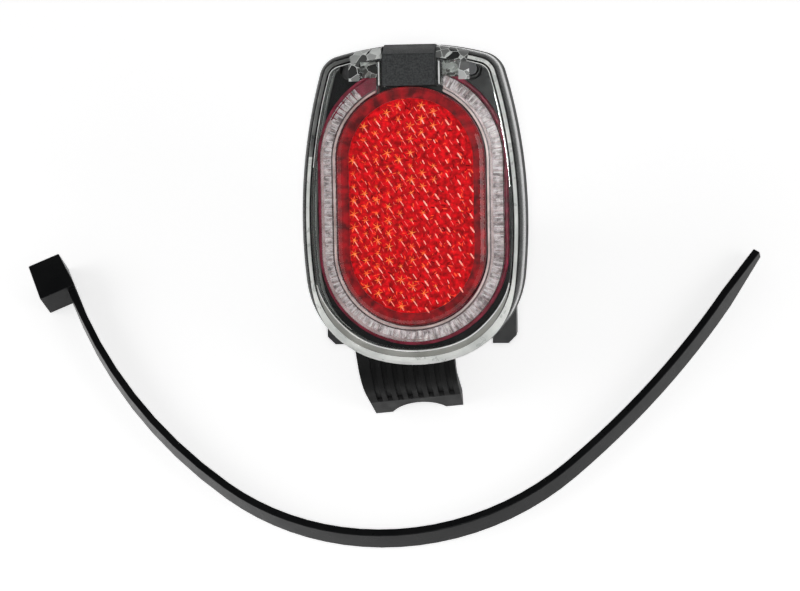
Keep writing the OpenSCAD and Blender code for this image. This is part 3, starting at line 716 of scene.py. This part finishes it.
field_w = reflector_w - 2 * field_margin
field_h = reflector_h - 2 * field_margin
red_field = moulded("red_field", (0.28, 0.003, 0.007), (0.8, 0.01, 0.022), 0.4, 0.6 * mm, 0.01 * mm,
                    0.8 * mm, 0.1)
field_mesh = cut(corner_field(red_field), [oval_block(field_w, field_h, reflector_z, field_top + mm)],
                 "INTERSECT")
field_mesh.transform(lamp_place)
fit(shown("reflector_field", field_mesh, red_field, sharp=5), "lamp", "red_prism")

margin_red = moulded("margin_red", (0.06, 0.001, 0.004), (0.3, 0.003, 0.012), 0.4, 0.6 * mm, 0.008 * mm,
                     1.6 * mm, 0.1)
margin_rings = [[(*p, z) for p in oval(reflector_w - 2 * inset, reflector_h - 2 * inset, oval_steps)]
                for inset, z in ((0, reflector_z), (0, field_top), (field_margin - hair, field_top),
                                 (field_margin - hair, reflector_z))]
margin_mesh = strip(margin_rings)
margin_mesh.transform(lamp_place)
fit(shown("reflector_margin", margin_mesh, margin_red), "lamp", "red_prism")

red_prism = clear("red_prism", (1.0, 0.6, 0.58), 1.5, 0.0, 2 * mm, 0.002 * mm)
plate_rings = [[(*p, z) for p in oval(reflector_w - 2 * inset, reflector_h - 2 * inset, oval_steps)]
               for inset, z in ((0, plate_z), (0, reflector_top - bevel),
                                (0.25 * bevel, reflector_top - 0.4 * bevel), (bevel, reflector_top))]
plate_mesh = strip(plate_rings, caps=True)
plate_mesh.transform(lamp_place)
plate = shown("reflector_plate", plate_mesh, red_prism, sharp=15)
plate.visible_shadow = False
fit(plate, "lamp", "red_prism", "reflector_panel")


def in_field(point, inset):
    """Whether a point lies in the field of cube corners, this far from its edge."""
    reach = (field_h - field_w) / 2
    nearest = Vector((0, max(-reach, min(reach, point.y))))
    return (point - nearest).length < field_w / 2 - inset


def turned(points, degrees, start):
    """Points turned about the origin and moved out along the new direction."""
    spin = Matrix.Rotation(math.radians(degrees), 2)
    return [spin @ (Vector(p) + Vector((start, 0))) for p in points]


def flat_item(name, outline):
    """A thin plate with this outline."""
    mesh = strip([[(*p, 0) for p in outline], [(*p, glint_t) for p in outline]], caps=True)
    item = bpy.data.objects.new(name, mesh)
    bpy.context.scene.collection.objects.link(item)
    return item


def lozenge(length, width):
    """A long narrow hexagon from the origin along the first axis."""
    return [(0, 0), (0.2 * length, -width / 2), (0.8 * length, -width / 2), (length, 0),
            (0.8 * length, width / 2), (0.2 * length, width / 2)]


def glints(name, outline, points, least, most, turn, lift, finish):
    """Painted highlights: copies of a flat item over the field of cube corners."""
    item = flat_item(name, outline)
    mesh = grown(name, scatter, point_mesh(points),
                 {"Item": item, "Least": least, "Most": most, "Turn": turn, "Seed": 3, "Finish": finish})
    bpy.data.objects.remove(item)
    mesh.transform(lamp_place @ Matrix.Translation((0, 0, field_top + lift)))
    fit(shown(name, mesh, finish), "lamp", "red_prism")


chance = random.Random(11)
star_share = 0.95
stars_thin_from = -2 * mm
stars_thin_over = 9 * mm
star_r = 0.95 * mm
star_notch = 0.2 * star_r
star_outline = [Matrix.Rotation(math.pi * k / 6, 2) @ Vector((star_r if k % 2 == 0 else star_notch, 0))
                for k in range(12)]
stars_at = [p for p in lattice
            if in_field(p, 0.5 * mm)
            and chance.random() < star_share - max(0, p.x - stars_thin_from) / stars_thin_over]
# Painted highlights: orange stars, pale dashes and pink threads on thin plates over the field.
star_painted_glint = moulded("star_painted_glint", (0.85, 0.07, 0.01), (1.0, 0.55, 0.1), 0.3, 0.3 * mm, 0.01 * mm,
                      0.5 * mm, 0.15)
glints("star_glints", star_outline, stars_at, 0.45, 1.1, 0.4, 0.02 * mm, star_painted_glint)
dash_painted_glint = moulded("dash_painted_glint", (1.0, 0.5, 0.34), (1.0, 0.98, 0.86), 0.3, 0.3 * mm, 0.01 * mm, 2 * mm)
dash_slant = 300
dashes_at = [p for p in lattice if in_field(p, 0.8 * mm)]
for side, width in (("left", 0.15 * mm), ("right", 0.24 * mm)):
    here = [p for p in dashes_at if (p.x > mm) == (side == "right")]
    glints("dash_glints_" + side, turned(lozenge(1.3 * mm, width), dash_slant, 0.15 * mm), here,
           0.6, 1.15, 0.1, 0.06 * mm, dash_painted_glint)
thread_painted_glint = moulded("thread_painted_glint", (1.0, 0.08, 0.08), (1.0, 0.4, 0.36), 0.3, 0.3 * mm, 0.01 * mm, 2 * mm)
to_edge = Matrix.Rotation(math.radians(30), 2) @ Vector((corner_pitch / 2, 0))
threads_at = [p + to_edge for p in lattice if in_field(p + to_edge, 0.6 * mm)]
glints("thread_glints", turned(lozenge(1.2 * mm, 0.11 * mm), dash_slant, -0.55 * mm), threads_at,
       0.6, 1.1, 0.1, 0.02 * mm, thread_painted_glint)
# Painted glints and painted shade: bright and dark red flecks scattered over the field.
fleck_count = 620
spots = [Vector((chance.uniform(-0.5, 0.5) * field_w, chance.uniform(-0.5, 0.5) * field_h))
         for _ in range(fleck_count)]
flecks_at = [p for p in spots if in_field(p, 0.1 * mm)]
fleck_painted_glint = moulded("fleck_painted_glint", (1.0, 0.04, 0.02), (1.0, 0.2, 0.05), 0.3, 0.3 * mm, 0.01 * mm,
                       2 * mm, 0.1)
fleck_painted_shade = moulded("fleck_painted_shade", (0.12, 0.001, 0.003), (0.24, 0.002, 0.006), 0.5, 0.3 * mm, 0.01 * mm,
                     2 * mm, 0.02)
for name, finish, here in (("bright_flecks", fleck_painted_glint, flecks_at[::2]),
                           ("dark_flecks", fleck_painted_shade, flecks_at[1::2])):
    glints(name, turned(lozenge(0.8 * mm, 0.2 * mm), 0, -0.4 * mm), here, 0.4, 1.2, math.pi, 0.0, finish)

# Hood
# A grained black cap of moulded plastic over the LEDs at the top of the lamp. It sits in the notch of the
# cover, and both ends of the light guide run in under it.
hood_grain = moulded("hood_grain", (0.038, 0.04, 0.041), (0.072, 0.076, 0.077), 0.42, 0.16 * mm, 0.05 * mm,
                     0.3 * mm, 0.06)
fit(rounded("led_hood", 0.25 * mm, hood_grain, segments=3), "lamp", "black_shell", "led_hood")

# Cover
# A clear domed shell with a rounded rim and two posts for the screws from the back. The reflector fills its
# window and the hood the notch at its top. Thin skins and faceted pads carry painted shade, painted
# highlights and painted reflections: the dark and bright bands and facets that its thick edge and corners
# show.
rim_w = 7.5 * mm
rim_h = 8.2 * mm
cover_w = reflector_w + 2 * rim_w
cover_h = reflector_h + 2 * rim_h
widest_v = -3 * mm
top_r = 50 * mm
shoulder_r = 5 * mm
side_r = 100 * mm
lower_r = 18 * mm
bottom_r = 27 * mm
cover_base = 14 * mm
cover_top = 26 * mm
cover_wall = 1.8 * mm
cover_edge_r = 2.2 * mm
cover_draft = 0.6 * mm
pane_z = cover_top - cover_wall
foot_round = 0.25 * mm
lower_thick = 1.1 * mm
window_slack = 0.15 * mm


def meeting(a, a_radius, b, b_radius, side):
    """One of the two points where circles round a and b meet."""
    way = b - a
    along_way = (a_radius ** 2 - b_radius ** 2 + way.length_squared) / (2 * way.length)
    across_way = math.sqrt(a_radius ** 2 - along_way ** 2)
    way.normalize()
    return a + along_way * way + side * across_way * Vector((-way.y, way.x))


def bearing(way):
    return math.atan2(way.y, way.x)


def cover_outline(inset):
    """The cover's outline of five tangent arcs a side, moved in by inset, from the middle of the top."""
    top_c = Vector((0, cover_h / 2 - top_r))
    side_c = Vector((cover_w / 2 - side_r, widest_v))
    bottom_c = Vector((0, bottom_r - cover_h / 2))
    shoulder_c = meeting(side_c, side_r - shoulder_r, top_c, top_r - shoulder_r, 1)
    corner_c = meeting(side_c, side_r - lower_r, bottom_c, bottom_r - lower_r, -1)
    top_end = bearing(shoulder_c - top_c)
    side_start = bearing(shoulder_c - side_c)
    side_end = bearing(corner_c - side_c)
    bottom_start = bearing(corner_c - bottom_c)
    right = (arc(top_c, top_r - inset, math.pi / 2, top_end, 16)
             + arc(shoulder_c, shoulder_r - inset, top_end, side_start, 14)
             + arc(side_c, side_r - inset, side_start, side_end, 20)
             + arc(corner_c, lower_r - inset, side_end, bottom_start, 18)
             + arc(bottom_c, bottom_r - inset, bottom_start, -math.pi / 2, 16))
    left = [Vector((-p.x, p.y)) for p in reversed(right[1:])]
    return right + [Vector((0, inset - cover_h / 2))] + left


def inner_outline(inset):
    """The outline of the cover's inside, whose lower wall is thicker."""
    return [Vector((p.x, p.y + lower_thick * max(0, -p.y / cover_h - 0.25) / 0.25))
            for p in cover_outline(inset)]


def block(low, high):
    """A box between two corners."""
    (x0, y0, z0), (x1, y1, z1) = low, high
    ring = [(x0, y0), (x1, y0), (x1, y1), (x0, y1)]
    return strip([[(*p, z0) for p in ring], [(*p, z1) for p in ring]], caps=True)


def column(middle, radius, low, high, steps=32):
    """A round bar between two heights."""
    ring = arc(Vector(middle), radius, 0, 2 * math.pi, steps)
    return strip([[(*p, low) for p in ring], [(*p, high) for p in ring]], caps=True)


inner_lean = cover_wall + cover_draft / 2
inner_r = 0.8 * mm
quarter = [math.radians(a) for a in range(0, 91, 9)]
inside = [(inner_lean + inner_r * (1 - math.cos(a)), pane_z - inner_r + inner_r * math.sin(a))
          for a in reversed(quarter)] + [(cover_wall, cover_base)]
outside = [(foot_round, cover_base), (0, cover_base + foot_round)]
outside += [(cover_draft + cover_edge_r * (1 - math.cos(a)),
             cover_top - cover_edge_r + cover_edge_r * math.sin(a)) for a in quarter]
shell = strip([[(*p, z) for p in inner_outline(inset)] for inset, z in inside]
              + [[(*p, z) for p in cover_outline(inset)] for inset, z in outside], caps=True)
hood_half = 4.85 * mm
hood_v = reflector_h / 2 + window_slack
post_u = 11 * mm
post_v = 25 * mm
post_r = 1.8 * mm
post_foot = cover_base - 0.6 * mm
into_pane = pane_z + 0.9 * mm
rib_t = 0.7 * mm
rib_l = 5.85 * mm
stay_z = 18.1 * mm
adds = [column((side * post_u, post_v), post_r, post_foot, into_pane) for side in (-1, 1)]
for side in (-1, 1):
    near = side * (hood_half + 2 * window_slack)
    far = near + side * rib_t
    adds.append(block((min(near, far), hood_v, stay_z), (max(near, far), hood_v + rib_l, into_pane)))
window = oval_block(reflector_w + 2 * window_slack, reflector_h + 2 * window_slack, pane_z - mm,
                    cover_top + mm)
notch = block((-hood_half - window_slack, hood_v - window_slack, stay_z - window_slack),
              (hood_half + window_slack, cover_h, cover_top + mm))
cover_mesh = cut(cut(shell, adds, "UNION"), [window, notch], "DIFFERENCE")
cover_mesh.transform(lamp_place)
clear_cover = clear("clear_cover", (0.8, 0.83, 0.81), 1.49, 0.0, 5 * mm, 0.012 * mm)
cover = shown("clear_shell", cover_mesh, clear_cover, sharp=30)
cover.visible_shadow = False
fit(cover, "lamp", "clear_cover", "front_cover")

skin_t = 0.04 * mm
skin_gap = 0.02 * mm
skin_steps = 6
low_from = 0.22
low_over = 0.2
corner_above = 0.12 * cover_h
grey_above = 0.14 * cover_h
rim_start = cover_outline(0)
rim_ways = [(b - a) / mm for a, b in zip(rim_start, cover_outline(mm))]
facets_u = 10.4 * mm
first = next(i for i, p in enumerate(rim_start) if p.x > hood_half + 2 * window_slack)
beyond = next(i for i, p in enumerate(rim_start) if p.x > facets_u)
side_places = range(first, len(rim_start) - first + 1)
rim_places = range(beyond, len(rim_start) - beyond + 1)
facet_places = {1: range(first, beyond + 1),
                -1: range(len(rim_start) - beyond, len(rim_start) - first + 1)}


def painted_light_film(name, colour, cloud, through, roughness, shine):
    """A partly clear film of painted light or shade, cloudy from colour to cloud."""
    material = moulded(name, colour, cloud, roughness, 0.4 * mm, 0.02 * mm, 5 * mm, shine)
    material.node_tree.nodes["Principled BSDF"].inputs["Transmission Weight"].default_value = through
    return material


def see_through(name, mesh, finish):
    """A clear piece or painted film of the cover, which casts no shadow on what lies under it."""
    mesh.transform(lamp_place)
    piece = shown(name, mesh, finish)
    piece.visible_shadow = False
    fit(piece, "lamp", "clear_cover")


def lowness(place):
    """From 0 at the sides of the cover to 1 at its bottom."""
    share = min(1, max(0, (-rim_start[place].y / cover_h - low_from) / low_over))
    return share * share * (3 - 2 * share)


def rim_spot(place, inset, lift):
    """A point on the rounded rim, this far in from the outline and raised by lift."""
    lean = min(1, max(0, (cover_draft + cover_edge_r - inset) / cover_edge_r))
    rise = math.sqrt(1 - lean ** 2)
    flat = rim_start[place] + rim_ways[place] * (inset - lift * lean)
    return (*flat, cover_top - cover_edge_r * (1 - rise) + lift * rise)


def rim_skin(name, places, near, far, finish):
    """A thin skin on the rim between two insets, each given at the sides and at the bottom."""
    shares = [i / skin_steps for i in range(skin_steps + 1)]
    rows = []
    for lift, steps in ((skin_gap, shares), (skin_gap + skin_t, shares[::-1])):
        for step in steps:
            insets = [(1 - step) * (near[0] + (near[1] - near[0]) * lowness(i))
                      + step * (far[0] + (far[1] - far[0]) * lowness(i)) for i in places]
            rows.append([rim_spot(i, inset, lift) for i, inset in zip(places, insets)])
    see_through(name, strip(rows, close=False), finish)


def side_skin(name, low, high, finish):
    """A thin skin round the drafted side of the cover, between two shares of its height."""
    tall = cover_top - cover_edge_r - cover_base
    rows = []
    for share, lift in ((low, skin_gap), (high, skin_gap), (high, skin_gap + skin_t),
                        (low, skin_gap + skin_t)):
        inset = cover_draft * share - lift
        z = cover_base + tall * share
        rows.append([(*(rim_start[i] + rim_ways[i] * inset), z) for i in side_places])
    see_through(name, strip(rows, close=False), finish)


# Painted shade: a grey film high on the cover's drafted side and a black one low on it.
side_painted_grey_shade = painted_light_film("side_painted_grey_shade", (0.1, 0.103, 0.1), (0.22, 0.225, 0.22), 0.85, 0.15, 0.1)
side_painted_black_shade = painted_light_film("side_painted_black_shade", (0.012, 0.012, 0.012), (0.03, 0.03, 0.03), 0.0, 0.4, 0.01)
side_skin("cover_side_skin", 0.58, 1.0, side_painted_grey_shade)
side_skin("cover_foot_skin", 0.05, 0.56, side_painted_black_shade)
low_places = [i for i in rim_places if lowness(i) > 0.02]
high_places = [[i for i in rim_places if rim_start[i].y > corner_above and side * rim_start[i].x > 0]
               for side in (-1, 1)]
# Painted light and shade on the rim: dark bands, pale and grey bands and white lines of painted highlight.
rim_painted_highlight = painted_light_film("rim_painted_highlight", (0.66, 0.68, 0.66), (0.98, 0.99, 0.96), 0.25, 0.3, 0.3)
rim_painted_dim_band = painted_light_film("rim_painted_dim_band", (0.1, 0.102, 0.1), (0.34, 0.345, 0.335), 0.4, 0.3, 0.2)
rim_painted_grey_band = painted_light_film("rim_painted_grey_band", (0.32, 0.32, 0.29), (0.44, 0.44, 0.41), 0.3, 0.35, 0.2)
painted_highlight_white = painted_light_film("painted_highlight_white", (0.7, 0.71, 0.7), (1.0, 1.0, 0.98), 0.15, 0.3, 0.3)
rim_painted_smoke_shade = painted_light_film("rim_painted_smoke_shade", (0.07, 0.072, 0.07), (0.16, 0.163, 0.16), 0.6, 0.2, 0.2)
rim_painted_black_shade = painted_light_film("rim_painted_black_shade", (0.008, 0.008, 0.008), (0.02, 0.02, 0.02), 0.4, 0.2, 0.15)
rim_skin("rim_outer", rim_places, (0.6 * mm, 0.6 * mm), (1.2 * mm, 0.62 * mm), rim_painted_smoke_shade)
rim_skin("rim_edge", rim_places, (1.24 * mm, 0.63 * mm), (1.5 * mm, 0.64 * mm), rim_painted_black_shade)
grey_from = next(i for i in rim_places if rim_start[i].x < 0 and rim_start[i].y > grey_above)
for name, places, finish in (("rim_light", [i for i in rim_places if i <= grey_from], rim_painted_highlight),
                             ("rim_light_upper", [i for i in rim_places if i >= grey_from], rim_painted_dim_band)):
    rim_skin(name, places, (1.55 * mm, 0.66 * mm), (2.15 * mm, 2.2 * mm), finish)
rim_skin("rim_inner", rim_places, (2.2 * mm, 2.22 * mm), (2.45 * mm, 2.24 * mm), rim_painted_black_shade)
rim_skin("rim_band", low_places, (2.47 * mm, 2.26 * mm), (2.5 * mm, 3.15 * mm), rim_painted_grey_band)
rim_skin("rim_line", low_places, (2.52 * mm, 3.2 * mm), (2.62 * mm, 3.45 * mm), painted_highlight_white)
for side, places in zip(("left", "right"), high_places):
    rim_skin("corner_line_" + side, places, (2.5 * mm, 2.5 * mm), (2.62 * mm, 2.62 * mm), painted_highlight_white)

# Painted highlight and painted shade: a pale and a dark line round the window's top edge.
lip_painted_highlight = moulded("lip_painted_highlight", (0.4, 0.28, 0.25), (0.7, 0.56, 0.52), 0.3, 0.4 * mm, 0.01 * mm, 3 * mm)
lip_painted_shade = moulded("lip_painted_shade", (0.03, 0.014, 0.014), (0.07, 0.035, 0.033), 0.3, 0.4 * mm, 0.01 * mm, 3 * mm)
for name, near, far, finish in (("lip_line", 0.45 * mm, 0.78 * mm, lip_painted_highlight),
                                ("lip_shade", 0.85 * mm, 1.1 * mm, lip_painted_shade)):
    lip_rows = [[(*p, cover_top + lift) for p in horseshoe(out)]
                for out, lift in ((near, skin_gap), (near, skin_gap + skin_t), (far, skin_gap + skin_t),
                                  (far, skin_gap))]
    see_through(name, strip(lip_rows, close=False), finish)


def crystal(low, high, columns, rows, relief):
    """A block whose top is broken into facets."""
    bm = bmesh.new()
    grid = []
    for r in range(rows + 1):
        line = []
        for c in range(columns + 1):
            inner = 0 < c < columns and 0 < r < rows
            x = c + (chance.uniform(-0.3, 0.3) if inner else 0)
            y = r + (chance.uniform(-0.3, 0.3) if inner else 0)
            line.append(bm.verts.new((low[0] + (high[0] - low[0]) * x / columns,
                                      low[1] + (high[1] - low[1]) * y / rows,
                                      high[2] - chance.uniform(0, relief))))
        grid.append(line)
    for below, above in zip(grid, grid[1:]):
        for c in range(columns):
            bm.faces.new((below[c], below[c + 1], above[c + 1]))
            bm.faces.new((below[c], above[c + 1], above[c]))
    close_below(bm, low[2])
    mesh = bpy.data.meshes.new("crystal")
    bm.to_mesh(mesh)
    bm.free()
    return mesh


def faceted(name, dark, light, through, size, contrast, edge):
    """A clear plastic broken into facets of painted light and shade in chance tones, with painted highlight
    lines where they meet.
    """
    material = painted_light_film(name, dark, light, through, 0.12, 0.3)
    tree = material.node_tree
    tint = tree.nodes["Principled BSDF"].inputs["Base Color"].links[0].from_node
    place = tree.nodes.new("ShaderNodeTexCoord")
    cells = tree.nodes.new("ShaderNodeTexVoronoi")
    edges = tree.nodes.new("ShaderNodeTexVoronoi")
    edges.feature = "DISTANCE_TO_EDGE"
    for node in (cells, edges):
        node.inputs["Scale"].default_value = 1 / size
        tree.links.new(place.outputs["Object"], node.inputs["Vector"])
    parts = tree.nodes.new("ShaderNodeSeparateColor")
    tone = tree.nodes.new("ShaderNodeMath")
    tone.operation = "POWER"
    tone.inputs[1].default_value = contrast
    line = tree.nodes.new("ShaderNodeMath")
    line.operation = "LESS_THAN"
    line.inputs[1].default_value = edge
    both = tree.nodes.new("ShaderNodeMath")
    both.operation = "MAXIMUM"
    tree.links.new(cells.outputs["Color"], parts.inputs["Color"])
    tree.links.new(parts.outputs["Red"], tone.inputs[0])
    tree.links.new(edges.outputs["Distance"], line.inputs[0])
    tree.links.new(tone.outputs[0], both.inputs[0])
    tree.links.new(line.outputs[0], both.inputs[1])
    tree.links.new(both.outputs[0], tint.inputs["Factor"])
    return material


# Painted reflections: chance-toned facets on the pads, rim and posts, and painted highlight lines by the
# hood.
facet_painted_light = faceted("facet_painted_light", (0.03, 0.031, 0.031), (0.85, 0.87, 0.85), 0.3, 1.7 * mm, 1.6, 0.025)
skin_low = cover_top + skin_gap
skin_high = skin_low + skin_t
rib_line_w = 0.26 * mm
pad_low = hood_v + 1.6 * mm
pad_high = hood_v + 4.5 * mm
post_low = hood_v + mm
post_high = hood_v + 4.2 * mm
rib_low = hood_v + 0.2 * mm
rib_high = hood_v + 4.4 * mm
for name, side in (("left", -1), ("right", 1)):
    rim_skin("rim_facets_" + name, facet_places[side], (0.62 * mm, 0.62 * mm), (2.75 * mm, 2.75 * mm),
             facet_painted_light)
    near = side * (hood_half + 2 * window_slack + rib_t + 0.1 * mm)
    far = side * (post_u - post_r - 0.15 * mm)
    pad_mesh = crystal((min(near, far), pad_low, stay_z + mm),
                       (max(near, far), pad_high, pane_z - 0.05 * mm), 4, 5, 1.8 * mm)
    see_through("pad_" + name, pad_mesh, facet_painted_light)
    middle = side * post_u
    post_mesh = block((min(far, middle), post_low, skin_low),
                      (max(far, middle), post_high, skin_high))
    see_through("post_facets_" + name, post_mesh, facet_painted_light)
    rib_u = side * (hood_half + 2 * window_slack + rib_t / 2)
    line_mesh = block((rib_u - rib_line_w / 2, rib_low, skin_low),
                      (rib_u + rib_line_w / 2, rib_high, skin_high))
    see_through("rib_line_" + name, line_mesh, painted_highlight_white)

# Tie
# A loose nylon cable tie on its edge: a head with a slot, three bends of strap and a pointed tip. The
# strap leans in from its lower edge, and fine teeth run along its inner face.
tie_start = Vector((-73.9, 11.4)) * mm
tie_heading = math.radians(-70.4)
tie_bends = ((112 * mm, 59.6 * mm), (57 * mm, 76.1 * mm), (184 * mm, 48.7 * mm), (math.inf, 12 * mm))
tie_t = 1.8 * mm
strap_thin = 0.35 * mm
strap_lean = math.tan(math.radians(10))
lean_after = 12 * mm
head_l = 8.6 * mm
head_d = 7 * mm
nylon = moulded("nylon", (0.004, 0.0044, 0.005), (0.008, 0.0082, 0.0086), 0.3, 0.5 * mm, 0.006 * mm,
                shine=0.15)


def strap_stations():
    """Points a millimetre apart on the strap's outer face, each with the way to the inner face."""
    point = tie_start.copy()
    heading = tie_heading
    stations = []
    for radius, length in tie_bends:
        for _ in range(round(length / mm)):
            stations.append((point.copy(), Vector((-math.sin(heading), math.cos(heading)))))
            middle = heading + mm / radius / 2
            point += mm * Vector((math.cos(middle), math.sin(middle)))
            heading += mm / radius
    return stations


stations = strap_stations()
strap = rounded("cable_tie", 0.2 * mm, nylon)
ahead = Vector((math.cos(tie_heading), math.sin(tie_heading)))
for vertex in strap.data.vertices:
    flat = vertex.co.xy
    place = min(range(len(stations)), key=lambda i: (flat - stations[i][0]).length_squared)
    point, inside = stations[place]
    depth = (flat - point).dot(inside)
    length = place * mm + min(0, (flat - tie_start).dot(ahead))
    share = min(1, max(0, (length + head_l) / lean_after))
    if length < 0:
        share *= (depth + head_d - tie_t) / head_d
        depth = 0
    shift = (vertex.co.z - table_z) * strap_lean - strap_thin * depth / tie_t
    vertex.co.xy = flat + share * shift * inside
fit(strap, "tie", "nylon", "cable_tie")
tooth_pitch = 1.1 * mm
tooth_l = 0.4 * mm
tooth_h = 0.25 * mm
tooth_low = 1.2 * mm
tooth_high = 3.8 * mm
plain_start = 36
plain_end = 12
tooth_rim = [(-tooth_l, -0.03 * mm), (tooth_l, -0.03 * mm), (tooth_l, tooth_h)]
tooth_points = [(x, y + z * strap_lean, z) for z in (tooth_low, tooth_high) for x, y in tooth_rim]
tooth = loose_item("tooth", tooth_points, wedge_faces)
teeth_path = [point + (tie_t - strap_thin) * inside for point, inside in stations[plain_start:-plain_end]]
teeth_mesh = grown("tie_teeth", along, path_mesh(teeth_path),
                   {"Item": tooth, "Pitch": tooth_pitch, "Least": 1.0, "Most": 1.0, "Seed": 1,
                    "Finish": nylon})
bpy.data.objects.remove(tooth)
teeth_mesh.transform(Matrix.Translation((0, 0, table_z)))
fit(shown("tie_teeth", teeth_mesh, nylon), "tie", "nylon")
